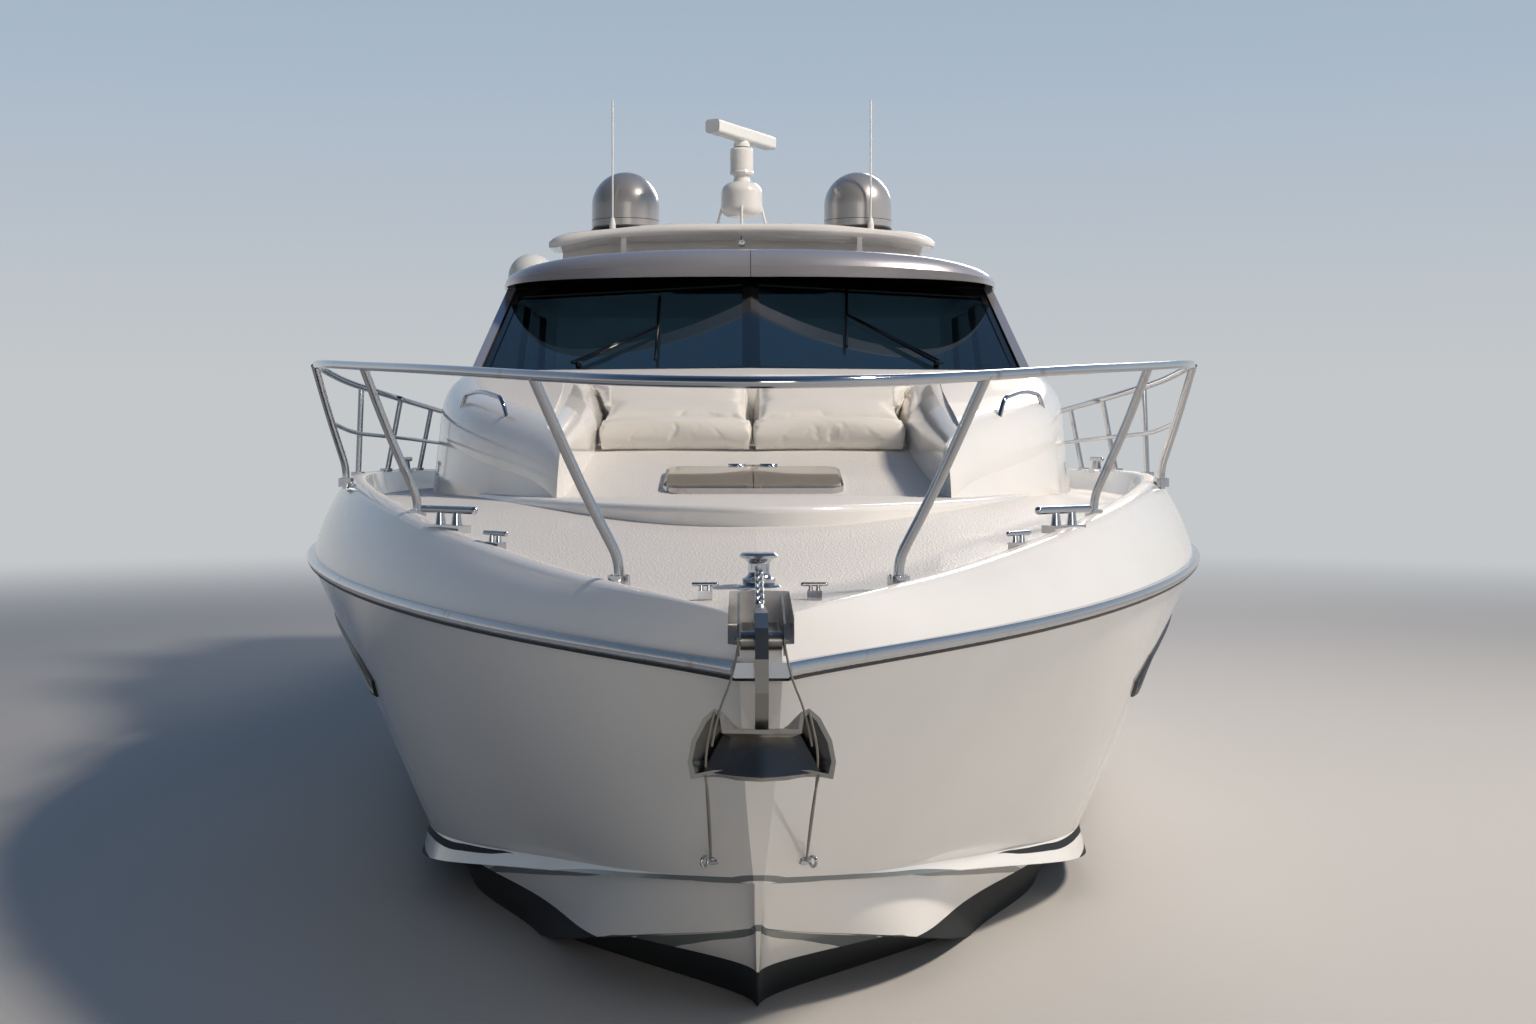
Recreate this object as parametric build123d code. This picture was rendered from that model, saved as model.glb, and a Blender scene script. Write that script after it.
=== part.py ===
"""Fifteen metre hardtop motor cruiser, afloat: hull, deck, sunpad, rails, ground tackle, hardtop, running gear.

Frame: millimetres, +Z up from the waterline, bow towards -Y, the boat's port side towards +X.
A station is a distance aft of the nose of the rub rail, and aft(station) turns it into Y.
"""

import os
from math import atan2, cos, degrees, hypot, pi, radians, sin, tan

from build123d import *

os.makedirs("parts", exist_ok=True)

NOSE_TO_ORIGIN = 7300.0
TRANSOM = 13700.0
RUNNING_GAP = 0.3
SWING_GAP = 8.0

# Hull lines: between rows the curves are smooth.
# station, height of the keel
KEEL = [(1450, -100), (1800, -235), (2300, -365), (3200, -500), (4500, -620), (6500, -700), (9500, -720),
        (13700, -700)]
# station, half breadth, height of the spray rail low on the bow
SPRAY_RAIL = [(974, 12, 375), (1310, 262, 262), (1640, 585, 167), (2300, 866, 0), (2930, 1110, -60),
              (3740, 1300, -105), (4700, 1500, -130), (6000, 1690, -155), (9000, 1840, -185), (13700, 1820, -195)]
# station, half breadth, height of the chine
CHINE = [(780, 18, 560), (1300, 430, 460), (1850, 771, 360), (2940, 1387, 167), (3740, 1545, 86),
         (4700, 1712, 20), (6000, 1925, -44), (9000, 2085, -90), (13700, 2060, -110)]
# station, width of the flat under the chine, width of the flat under the spray rail
FLATS = [(780, 60, 110), (1640, 85, 120), (2300, 130, 90), (2940, 185, 60), (3740, 160, 50), (4700, 120, 50),
         (6000, 90, 50), (13700, 90, 50)]
# station, inset, height above the chine of the knuckle line that closes its lip
LIP = [(780, 2, 15), (1500, 30, 32), (2400, 75, 68), (3200, 40, 138), (4500, 14, 160), (13700, 10, 150)]
# station, half breadth, height of the rub rail
SHEER = [(0, 60, 1330), (360, 365, 1336), (1000, 850, 1345), (2000, 1440, 1365), (3000, 1870, 1392),
         (3800, 2110, 1412), (4700, 2280, 1424), (6000, 2345, 1424), (9000, 2350, 1390), (13700, 2200, 1290)]
# station on the keel, station on the sheer of each section plane: raked like the stem forward, upright aft
SECTION_PLANES = [(1450, 0), (1620, 300), (1900, 750), (2300, 1350), (2950, 2150), (3800, 3200),
                  (5000, 4600), (6800, 6600), (9200, 9100), (11500, 11450), (13700, 13700)]
TOPSIDE_BULGE = [(0, 6), (3000, 20), (7000, 38), (13700, 40)]

# Deck moulding: station, crown of the bulwark, depth of the side deck below the crown
BULWARK = [(0, 1470, 22), (200, 1495, 25), (900, 1533, 40), (2300, 1673, 60), (3600, 1780, 100), (5500, 1800, 120),
           (9000, 1750, 120), (13700, 1600, 60)]
DECK_STATIONS = [0, 350, 900, 1700, 2700, 3900, 5300, 6900, 8600, 10300, 12000, 13700]
BULWARK_INSET = 165.0
BULWARK_CROWN = 95.0
DECK_CAMBER = 20.0
DECK_SEAT = 50.0

# Cockpit well, from the forward bulkhead to the stern coaming
WELL_HALF = 1600.0
WELL_FRONT = 7000.0
WELL_BACK = 12950.0
SOLE_TOP = 985.0
SOLE_THICK = 55.0

# Coachroof trunk: station, half breadth, height and radius of the shoulder
TRUNK = [(3320, 860, 1730, 90), (3420, 930, 1885, 170), (3600, 1015, 1990, 220), (3950, 1215, 2075, 250),
         (4400, 1450, 2150, 260), (5200, 1730, 2280, 250), (6100, 1800, 2375, 190), (WELL_FRONT, 1820, 2392, 110)]
TRUNK_STATIONS = [3320, 3500, 3750, 4150, 4700, 5400, 6200, WELL_FRONT]
TRUNK_LEAN = 60.0
TRUNK_CAMBER = 15.0
TRUNK_FOOT = 1560.0
# Low plinth that carries the trunk, its front a parabola in plan
PLINTH_FRONT = 2200.0
PLINTH_BACK = 5300.0
PLINTH_HALF = 1730.0
PLINTH_TOP = 1705.0
PLINTH_EDGE = 28.0
# Sunpad recess between the shoulders: station, floor, half breadth of the floor, radius and height of its lip
RECESS = [(3200, 1700, 900, 60, 1960), (3680, 1700, 895, 90, 2000), (4450, 1834, 850, 150, 2150),
          (4850, 1930, 830, 190, 2220), (5560, 2010, 820, 250, 2325)]
SUNPAD_HALF = 812.0

# Foredeck hatch, on the sloping floor of the recess
HATCH_STATION = 4030.0
HATCH_WIDTH = 860.0
HATCH_LENGTH = 560.0
HATCH_CORNER = 90.0
HATCH_RIM = 42.0
HATCH_RISE = 24.0
HATCH_WELL = 230.0
HATCH_LID = 12.0
HATCH_HINGE = 240.0
HATCH_PIN = 4.5

# Companionway down to the lower cabin, in the forward bulkhead of the cockpit
DOORWAY = (-320.0, 340.0)
DOORWAY_HEAD = 2180.0
STAIR_FRONT = 6080.0
STAIR_FOOT = 260.0
STEPS = 3
DOOR_THICK = 30.0
DOOR_LAP = 30.0
DOOR_TRAVEL = 700.0

# Windscreen: middle and corner of its base, middle and corner of its top
SCREEN_FOOT = (0.0, 6000.0, 2395.0)
SCREEN_FOOT_CORNER = (1700.0, 6820.0, 2372.0)
SCREEN_HEAD = (0.0, 7300.0, 3040.0)
SCREEN_RIM = 55.0
SCREEN_THICK = 34.0
GLASS = 8.0
PANE_DEPTH = 6.0
# Side frames of the cabin lean inwards and carry the hardtop
CABIN_SIDE_THICK = 235.0
CABIN_SIDE_TOP = [(WELL_FRONT, 2385), (9000, 2310), (11200, 2160), (12300, 2030), (WELL_BACK, 1800)]
SIDE_FRAME_FACE = 1812.0
SIDE_FRAME_BASE = 2360.0
SIDE_FRAME_LEAN = 0.13
SIDE_FRAME_THICK = 55.0
SIDE_FRAME = [(6536, 2240), (8174, 3075), (11150, 3075), (12150, 1980), (11300, 2060), (7000, 2240)]
SIDE_LIGHTS = [[(7480, 2430), (8420, 2990), (9220, 2990), (9220, 2375)],
               [(9320, 2370), (9320, 2990), (10320, 2990), (10900, 2265)]]

# Hardtop, an aerofoil in profile: x, front, back, height of the crown
HARDTOP = [(0, 7150, 11250, 3300), (700, 7185, 11240, 3290), (1200, 7330, 11200, 3255), (1500, 7540, 11140, 3205),
           (1680, 7850, 11080, 3150), (1755, 8250, 11000, 3112)]
HARDTOP_UNDERSIDE = 3055.0
HARDTOP_BROW = 0.78
SUNROOF = (560.0, 8110.0, 8650.0)
SUNROOF_LAP = 60.0
SUNROOF_THICK = 14.0
SUNROOF_RAIL = 8.0
SUNROOF_TRAVEL = 520.0

# Radar wing, arched across the roof: x, height of its top, chord, thickness
WING = [(0, 3603, 620, 78), (760, 3588, 612, 78), (1200, 3548, 580, 78), (1400, 3508, 500, 76),
        (1452, 3474, 400, 40)]
WING_STATION = 9120.0
# x, chord and shift aft of the struts in front
WING_STRUTS = [(-890, 110, -130), (890, 110, -130)]
STRUT_WIDTH = 40.0
# Fairing that carries the wing: half breadth, first and last station at the roof, then at the wing
FAIRING = (1385, (9270, 9425), (9330, 9415))
# the wing and all it carries stand a little to starboard of the centreline
GEAR_SHIFT = -60.0
DOME_RADIUS = 260.0
DOME_HEIGHT = 465.0
DOME_X = 895.0
DOME_STATION = 9260.0
DOME_FOOT = 22.0
WHIP_X = 976.0
WHIP_FOOT = 24.0
WHIP_GAP = 9.0
# just ahead of the dome, clear of its wall
WHIP_STATION = DOME_STATION - ((DOME_RADIUS + WHIP_FOOT + WHIP_GAP) ** 2 - (WHIP_X - DOME_X) ** 2) ** 0.5
WHIP_TOP = 4550.0
WHIP_RADIUS = 7.0
RADAR_STATION = 9080.0
RADAR_FOOT = 3680.0
RADAR_HUB = 4218.0
RADAR_BAR = (920.0, 118.0, 100.0)
RADAR_YAW = 62.0
# small aerial dome on the starboard side of the roof: x, station, height of the roof there, radius, wall
SMALL_DOME = (-1570.0, 8300.0, 3118.0, 168.0, 35.0)

# Bow rail in polished tube: station, half breadth, height
RAIL_TUBE = 17.0
RAIL = [(-50, 0, 2114), (20, 230, 2119), (215, 455, 2132), (555, 690, 2156), (1270, 1130, 2205), (2100, 1520, 2250),
        (2760, 1830, 2288), (3330, 1990, 2308), (4200, 2040, 2262), (5800, 2045, 2210), (7900, 2055, 2150),
        (9700, 2045, 2085), (10600, 2040, 1990), (10950, 2040, 1738)]
MID_RAIL = [(3440, 1965, 2130), (3600, 1975, 2050), (4300, 2015, 2005), (5800, 2030, 1985), (7900, 2040, 1940),
            (9700, 2035, 1890), (10840, 2040, 1850)]
MID_TUBE = 11.0
# foot x, station and bend of each stanchion, then where it meets the rail
STANCHIONS = [((440, 760), (560, 700, 1830), (690, 555, 2156)),
              ((1350, 2330), (1450, 2230, 2000), (1520, 2100, 2250)),
              ((1905, 3600), (1955, 3470, 2080), (1990, 3330, 2308))]
SIDE_STANCHIONS = [4620, 5750, 6850, 7950, 9050]
STANCHION_FOOT = 36.0
GRAB_TUBE = 12.0
GRAB_RAIL = [(1235, 4230, 2085), (1262, 4250, 2180), (1400, 4520, 2225), (1530, 4850, 2215), (1560, 4880, 2130)]

# Ground tackle
SLOT_HALF = 92.0
SLOT_FLOOR = 1395.0
SLOT_BACK = 640.0
CAPSTAN_STATION = 760.0
CAPSTAN_RADIUS = 62.0
CAPSTAN_HEIGHT = 112.0
CHEEK_X = 60.0
CHEEK_THICK = 6.0
ROLLER_STATION = -30.0
ROLLER_HEIGHT = 1412.0
ROLLER_RADIUS = 26.0
CHAIN_WIRE = 5.0
LINK_PITCH = 29.0
LINK_WIDTH = 35.0
CHAIN_STEP = LINK_PITCH - RUNNING_GAP
# station and height of the middle of the first and the last link
CHAIN_ENDS = [(697, 1552), (380, 1468)]
SHANK_WIDTH = 36.0
# Anchor fluke: station, then x and height of the port half of its outline, from the keel out and up
FLUKE = [
    (-165, [(0, 1071), (133, 1071), (189, 1059), (197, 1105), (186, 1163), (155, 1222), (126, 1247), (104, 1238),
            (97, 1192), (0, 1190)]),
    (-20, [(0, 1026), (70, 1030), (112, 1050), (128, 1090), (125, 1125), (108, 1160), (88, 1178), (72, 1180),
           (60, 1172), (0, 1170)]),
    (235, [(0, 1004), (8, 1004), (14, 1006), (16, 1012), (15, 1018), (12, 1022), (9, 1024), (7, 1024), (5, 1023),
           (0, 1022)]),
]
FLUKE_CUP = [
    (-166, [(0, 1083), (130, 1083), (178, 1073), (186, 1106), (175, 1158), (147, 1212), (126, 1234), (113, 1226),
            (106, 1181), (0, 1179)]),
    (-75, [(0, 1096), (60, 1092), (88, 1088), (98, 1100), (96, 1120), (86, 1142), (76, 1152), (66, 1152), (55, 1146),
           (0, 1142)]),
]
# Stem eyes for the anchor lashings: x and height
STEM_EYE = (146.0, 622.0)
# x, station, yaw, horn, height and tube of each cleat: three for mooring, two small ones for lashings
CLEATS = [(1165, 1950, 48, 300, 62, 15), (2115, 6300, 0, 300, 62, 15), (2010, 12900, 0, 300, 62, 15),
          (163, 450, 90, 70, 20, 6), (936, 1560, 42, 130, 34, 9)]

# Stern
PLATFORM_BACK = 14800.0
PLATFORM_HALF = 2000.0
PLATFORM_TOP = 430.0
PLATFORM_THICK = 110.0
PLATFORM_CORNER = 380.0
GATE = (1000.0, 1500.0)
GATE_TOP = 1560.0
GATE_THICK = 36.0
LOCKER = (-1250.0, 780.0)
LOCKER_STATIONS = (12000.0, 12900.0)
LOCKER_WALL = 28.0
LOCKER_TOP = 1455.0
LOCKER_LID = 36.0
LOCKER_HINGE = 900.0
SOCKET_BORE = 26.0
SOCKET_STATION = TRANSOM - 160

# Running gear
SHAFT_X = 780.0
SHAFT_START = (10900.0, -505.0)
PROPELLER_STATION = 12950.0
SHAFT_FALL = 0.19
SHAFT_RADIUS = 25.0
STERN_TUBE_RADIUS = 48.0
BEARING_RADIUS = 42.0
# length and thickness of a strut of the V bracket
STRUT = (120.0, 26.0)
PROPELLER_RADIUS = 280.0
BLADES = 4
RUDDER_STATION = 13360.0
RUDDER_CHORD = 330.0
RUDDER_TOP = -560.0
RUDDER_DEEP = 440.0
STOCK_RADIUS = 22.0
ENGINE = (760.0, 1350.0, 820.0)
ENGINE_X = 760.0
ENGINE_STATION = 9700.0
ENGINE_FOOT = -330.0
ENGINE_BAY_GAP = 40.0

# Helm and furniture in the well
CONSOLE = (-1560.0, -440.0)
CONSOLE_SIDE = [(WELL_FRONT, SOLE_TOP), (WELL_FRONT, 2250), (7180, 2235), (7520, 1985), (7600, 1880), (7420, 1500),
                (7420, SOLE_TOP)]
WHEEL = (-1000.0, 7655.0, 1965.0)
WHEEL_TILT = 38.0
WHEEL_RADIUS = 190.0
HELM_SEAT = (-1480.0, -520.0)
HELM_SEAT_STATION = 8300.0
SETTEE_BASE = 1385.0
CUSHION = 110.0
TABLE_TOP = 1700.0

# Wipers on each pane, in its plane: pivot, foot and head of the blade
WIPERS = {"port": ((1357, 131), (800, 335), (1250, 1275)), "starboard": ((1257, 124), (715, 150), (1122, 1092))}
# Lights in the topsides: station, height
HULL_LIGHTS = [
    [(2790, 948), (2880, 880), (3100, 868), (3600, 905), (4220, 1050), (4190, 1120), (3700, 1085), (3000, 1020)],
    [(5300, 1000), (5450, 930), (6900, 905), (7150, 960), (7050, 1075), (5700, 1100)],
]


def aft(station):
    """Y of a station."""
    return station - NOSE_TO_ORIGIN


def along(table, station, column=1):
    """Value of a table's column at a station, by a smooth curve that doesn't overshoot its rows."""
    xs = [row[0] for row in table]
    ys = [row[column] for row in table]
    if station <= xs[0]:
        return float(ys[0])
    if station >= xs[-1]:
        return float(ys[-1])
    steps = [(ys[i + 1] - ys[i]) / (xs[i + 1] - xs[i]) for i in range(len(xs) - 1)]
    slopes = [steps[0]]
    for before, after in zip(steps, steps[1:]):
        slopes.append(0.0 if before * after <= 0 else 2 * before * after / (before + after))
    slopes.append(steps[-1])
    i = max(k for k in range(len(xs) - 1) if xs[k] <= station)
    width = xs[i + 1] - xs[i]
    t = (station - xs[i]) / width
    return (
        ys[i] * (1 + 2 * t) * (1 - t) ** 2
        + slopes[i] * width * t * (1 - t) ** 2
        + ys[i + 1] * t * t * (3 - 2 * t)
        + slopes[i + 1] * width * t * t * (t - 1)
    )


def where_plane_meets(table, keel, sheer):
    """Half breadth, station and height where a hull line crosses the plane through a keel and a sheer point."""

    def station_at(height):
        return keel[0] + (height - keel[1]) / (sheer[1] - keel[1]) * (sheer[0] - keel[0])

    low, high = keel[1], sheer[1]
    while high - low > 0.01:
        middle = (low + high) / 2
        if middle < along(table, station_at(middle), 2):
            low = middle
        else:
            high = middle
    station = station_at(low)
    return along(table, station), station, low


def arc(start, middle, end):
    """Arc through three points."""
    return Edge.make_three_point_arc(Vector(*start), Vector(*middle), Vector(*end))


def line(start, end):
    """Straight edge."""
    return Edge.make_line(Vector(*start), Vector(*end))


def port_and_starboard(edges, close_top=True):
    """Closed wire of port edges from the centreline out and up, their mirror images and a straight top."""
    mirror_images = [edge.mirror(Plane.YZ) for edge in edges]
    top = edges[-1] @ 1
    closing = [line((top.X, top.Y, top.Z), (-top.X, top.Y, top.Z))] if close_top else []
    return Wire(edges + closing + mirror_images)


def hull_section(keel_station, sheer_station):
    """Closed section of the hull on one raked plane."""
    keel = (keel_station, along(KEEL, keel_station))
    sheer = (sheer_station, along(SHEER, sheer_station, 2))
    rake = (sheer[0] - keel[0]) / (sheer[1] - keel[1])
    spray_half, spray_station, spray_height = where_plane_meets(SPRAY_RAIL, keel, sheer)
    chine_half, chine_station, chine_height = where_plane_meets(CHINE, keel, sheer)
    lip_rise = along(LIP, chine_station, 2)
    lip_half = chine_half - along(LIP, chine_station, 1)
    sheer_half = along(SHEER, sheer_station)
    bulge = along(TOPSIDE_BULGE, sheer_station)
    spray_flat = min(along(FLATS, spray_station, 2), 0.3 * spray_half)
    chine_flat = min(along(FLATS, chine_station), 0.3 * chine_half)
    lip_station = chine_station + lip_rise * rake
    lip_height = chine_height + lip_rise
    corners = [
        (0, aft(keel[0]), keel[1]),
        (spray_half - spray_flat, aft(spray_station), spray_height),
        (spray_half, aft(spray_station), spray_height),
        (chine_half - chine_flat, aft(chine_station), chine_height),
        (chine_half, aft(chine_station), chine_height),
        (lip_half, aft(lip_station), lip_height),
    ]
    rim = (sheer_half, aft(sheer[0]), sheer[1])
    middle = (
        (lip_half + sheer_half) / 2 + bulge,
        (aft(lip_station) + rim[1]) / 2,
        (lip_height + rim[2]) / 2,
    )
    edges = [line(a, b) for a, b in zip(corners, corners[1:])]
    return port_and_starboard(edges + [arc(corners[-1], middle, rim)])


def hull_body():
    """Whole hull, closed at the sheer."""
    return Solid.make_loft([hull_section(*plane) for plane in SECTION_PLANES])


def deck_section(station):
    """Closed upright section of the deck moulding, its underside a little inside the hull."""
    half = along(SHEER, station)
    joint = along(SHEER, station, 2)
    crown = along(BULWARK, station)
    depth = along(BULWARK, station, 2)
    y = aft(station)
    share = min(1.0, half / 900)
    inset = BULWARK_INSET * share
    width = BULWARK_CROWN * share
    edge = 6 * share
    foot = (half - edge, y, joint)
    shoulder = (half - inset, y, crown - 22 * share)
    inner = (half - inset - width, y, crown - 8 * share)
    well = (inner[0] - 45 * share, y, crown - depth)
    edges = [
        line((0, y, joint - DECK_SEAT), (half - 110 * share, y, joint - DECK_SEAT)),
        line((half - 110 * share, y, joint - DECK_SEAT), foot),
        arc(foot, ((foot[0] + shoulder[0]) / 2 + 16 * share, y, (joint + shoulder[2]) / 2 + 12 * share), shoulder),
        arc(shoulder, ((shoulder[0] + inner[0]) / 2, y, crown), inner),
        line(inner, well),
        line(well, (0, y, crown - depth + DECK_CAMBER * share)),
    ]
    return Wire(edges + [edge.mirror(Plane.YZ) for edge in edges])


def deck_body():
    """Deck moulding before the hull is taken from it."""
    return Solid.make_loft([deck_section(station) for station in DECK_STATIONS])


def side_prism(outline, start, end):
    """Solid between two X values from a side outline of (station, height) points."""
    wire = Wire.make_polygon([(start, aft(station), height) for station, height in outline], close=True)
    return Solid.extrude(Face(wire), Vector(end - start, 0, 0))


def plan_prism(outline, bottom, top):
    """Solid between two heights from a plan outline of (x, station) points."""
    wire = Wire.make_polygon([(x, aft(station), bottom) for x, station in outline], close=True)
    return Solid.extrude(Face(wire), Vector(0, 0, top - bottom))


def block(x_range, station_range, height_range):
    """Box between two X values, two stations and two heights."""
    size = [x_range[1] - x_range[0], station_range[1] - station_range[0], height_range[1] - height_range[0]]
    corner = Vector(x_range[0], aft(station_range[0]), height_range[0])
    return Solid.make_box(*size, Plane(corner))


def rod(start, end, radius):
    """Round bar between two points of (x, station, height)."""
    a = Vector(start[0], aft(start[1]), start[2])
    b = Vector(end[0], aft(end[1]), end[2])
    return Solid.make_cylinder(radius, (b - a).length, Plane(a, z_dir=b - a))


def tube(points, radius):
    """Round bar along (x, station, height) points, its corners rounded as widely as the runs allow."""
    places = [Vector(x, aft(station), height) for x, station, height in points]
    bends = []
    for before, here, after in zip(places, places[1:], places[2:]):
        turn = radians((here - before).get_angle(after - here))
        bends.append(0.45 * min((here - before).length, (after - here).length) / tan(turn / 2))
    path = FilletPolyline(*places, radius=bends)
    section = Plane(path @ 0, z_dir=path % 0) * Circle(radius)
    return sweep(section, path).solid()


def mirrored(shape):
    """The same shape on the starboard side."""
    return shape.mirror(Plane.YZ)


def both_sides(shape):
    """A shape and its mirror image."""
    return [shape, mirrored(shape)]


def biggest(shape):
    """The largest solid of a cut."""
    return max(shape.solids(), key=lambda solid: solid.volume)


def rounded(solid, edges, radius):
    """Solid with the given edges rounded."""
    return solid.fillet(radius, edges)


def edges_along(solid, direction):
    """Straight edges that run along an axis."""
    return solid.edges().filter_by(direction)


def write(name, *shapes):
    """One STEP file for a node of one or more solids."""
    solids = [solid for shape in shapes for solid in shape.solids()]
    whole = solids[0] if len(solids) == 1 else Compound(solids)
    whole.label = name
    export_step(whole, f"parts/{name}.step")
    return whole


def trunk_section(station, half, top, radius):
    """Closed upright section of the coachroof trunk."""
    y = aft(station)
    corner = (half - radius, top - radius)
    edges = [
        line((0, y, TRUNK_FOOT), (half + TRUNK_LEAN, y, TRUNK_FOOT)),
        line((half + TRUNK_LEAN, y, TRUNK_FOOT), (half, y, corner[1])),
        arc(
            (half, y, corner[1]),
            (corner[0] + radius * cos(pi / 4), y, corner[1] + radius * sin(pi / 4)),
            (corner[0], y, top),
        ),
        line((corner[0], y, top), (0, y, top + TRUNK_CAMBER)),
    ]
    return Wire(edges + [mirrored(edge) for edge in edges])


def recess_section(station, floor, half, radius, lip):
    """Closed upright section of what is cut away for the sunpad, with a rounded lip."""
    y = aft(station)
    above = lip + 400
    edges = [
        line((0, y, floor), (half, y, floor)),
        line((half, y, floor), (half, y, lip - radius)),
        arc(
            (half, y, lip - radius),
            (half + radius * (1 - cos(pi / 4)), y, lip - radius * (1 - sin(pi / 4))),
            (half + radius, y, lip),
        ),
        line((half + radius, y, lip), (half + radius, y, above)),
        line((half + radius, y, above), (0, y, above)),
    ]
    return Wire(edges + [mirrored(edge) for edge in edges])


def plinth_body():
    """Parabolic plinth with a rounded front edge."""
    ends = [(PLINTH_HALF, PLINTH_BACK), (0, 2 * PLINTH_FRONT - PLINTH_BACK), (-PLINTH_HALF, PLINTH_BACK)]
    points = [Vector(x, aft(station), TRUNK_FOOT) for x, station in ends]
    front = Bezier(*points)
    back = Line(points[2], points[0])
    solid = extrude(make_face([front, back]), amount=PLINTH_TOP - TRUNK_FOOT, dir=(0, 0, 1)).solid()
    top = solid.faces().sort_by(Axis.Z)[-1]
    rim = [edge for edge in top.edges() if abs((edge @ 0.5).Y - aft(PLINTH_BACK)) > 1]
    return rounded(solid, rim, PLINTH_EDGE)


def hatch_plane():
    """Plane of the recess floor at the foredeck hatch, its X to port and its Y aft and up the slope."""
    low, high = RECESS[1], RECESS[2]
    slope = (high[1] - low[1]) / (high[0] - low[0])
    height = low[1] + slope * (HATCH_STATION - low[0])
    return Plane(Vector(0, aft(HATCH_STATION), height), x_dir=(1, 0, 0), z_dir=(0, -slope, 1))


def rounded_slab(plane, width, length, corner, bottom, top):
    """Slab with rounded corners between two heights over a plane."""
    return extrude(plane.offset(bottom) * RectangleRounded(width, length, corner), amount=top - bottom).solid()


def hatch_cut():
    """Well under the foredeck hatch."""
    inner = 2 * HATCH_RIM
    return rounded_slab(
        hatch_plane(), HATCH_WIDTH - inner, HATCH_LENGTH - inner, HATCH_CORNER - HATCH_RIM, -HATCH_WELL, HATCH_RISE
    )


def companionway_cut():
    """Stairwell through the forward bulkhead."""
    steps = [(WELL_FRONT + 1, SOLE_TOP)]
    tread = (WELL_FRONT - STAIR_FRONT) / (STEPS + 1)
    riser = (SOLE_TOP - STAIR_FOOT) / STEPS
    for number in range(STEPS):
        station = WELL_FRONT - tread * (number + 0.5)
        steps += [(station, SOLE_TOP - riser * number), (station, SOLE_TOP - riser * (number + 1))]
    outline = steps + [(STAIR_FRONT, STAIR_FOOT), (STAIR_FRONT, DOORWAY_HEAD), (WELL_FRONT + 1, DOORWAY_HEAD)]
    return side_prism(outline, *DOORWAY)


def coachroof_body(deck):
    """Trunk with its two shoulders, the sunpad recess and the plinth, seated on the deck."""
    sections = [trunk_section(at, *(along(TRUNK, at, column) for column in (1, 2, 3))) for at in TRUNK_STATIONS]
    trunk = Solid.make_loft(sections)
    recess = Solid.make_loft([recess_section(*row) for row in RECESS], ruled=True)
    return biggest(trunk - recess + plinth_body() - deck)


def hardtop_section(x, front, back, crown):
    """Closed upright fore-and-aft section of the hardtop."""
    floor = HARDTOP_UNDERSIDE
    rise = crown - floor
    nose = (x, aft(front), floor + 0.30 * rise)
    brow = (x, aft(front + 130), floor + HARDTOP_BROW * rise)
    tail = (x, aft(back + 25), floor + 0.55 * rise)
    return Wire([
        line((x, aft(front + 25), floor), (x, aft(back), floor)),
        line((x, aft(back), floor), tail),
        arc(tail, (x, aft(front + 0.42 * (back - front)), crown), brow),
        arc(brow, (x, aft(front + 32), floor + 0.55 * rise), nose),
        line(nose, (x, aft(front + 25), floor)),
    ])


def hardtop_body():
    """Hardtop lofted from side to side, with the sunroof opening."""
    rows = [(-x, *rest) for x, *rest in reversed(HARDTOP[1:])] + HARDTOP
    roof = Solid.make_loft([hardtop_section(*row) for row in rows])
    half, front, back = SUNROOF
    return biggest(roof - block((-half, half), (front, back), (HARDTOP_UNDERSIDE - 50, 3500)))


def side_frame_plane():
    """Outer face of the port side frame, its X aft and its Y up the lean."""
    return Plane(Vector(SIDE_FRAME_FACE, 0, SIDE_FRAME_BASE), x_dir=(0, 1, 0), z_dir=(1, 0, SIDE_FRAME_LEAN))


def on_side_frame(outline, depth, thick):
    """Plate of a (station, height) outline, a depth inside the side frame's face."""
    stretch = hypot(1, SIDE_FRAME_LEAN)
    points = [(aft(station), (height - SIDE_FRAME_BASE) * stretch) for station, height in outline]
    plane = side_frame_plane()
    wire = Wire.make_polygon([plane.from_local_coords((u, v, -depth)) for u, v in points], close=True)
    return Solid.extrude(Face(wire), plane.z_dir * -thick)


def cabin_side_body(deck):
    """Port coaming beside the cockpit, from the bulkhead aft."""
    outline = [(WELL_FRONT, TRUNK_FOOT)] + CABIN_SIDE_TOP + [(WELL_BACK, TRUNK_FOOT - 60)]
    slab = side_prism(outline, WELL_HALF, WELL_HALF + CABIN_SIDE_THICK)
    outer_top = [
        edge for edge in slab.edges()
        if abs(edge.center().X - WELL_HALF - CABIN_SIDE_THICK) < 1 and edge.center().Z > 1700
        and abs(edge.center().Y - aft(WELL_FRONT)) > 1 and abs(edge.center().Y - aft(WELL_BACK)) > 1
    ]
    return biggest(rounded(slab, outer_top, 60) - deck)


def screen_plane():
    """Outer face of the port windscreen pane, its X outboard along the base."""
    foot, corner, head = (Vector(x, aft(station), z) for x, station, z in
                          (SCREEN_FOOT, SCREEN_FOOT_CORNER, SCREEN_HEAD))
    return Plane(foot, x_dir=corner - foot, z_dir=(corner - foot).cross(head - foot))


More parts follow.
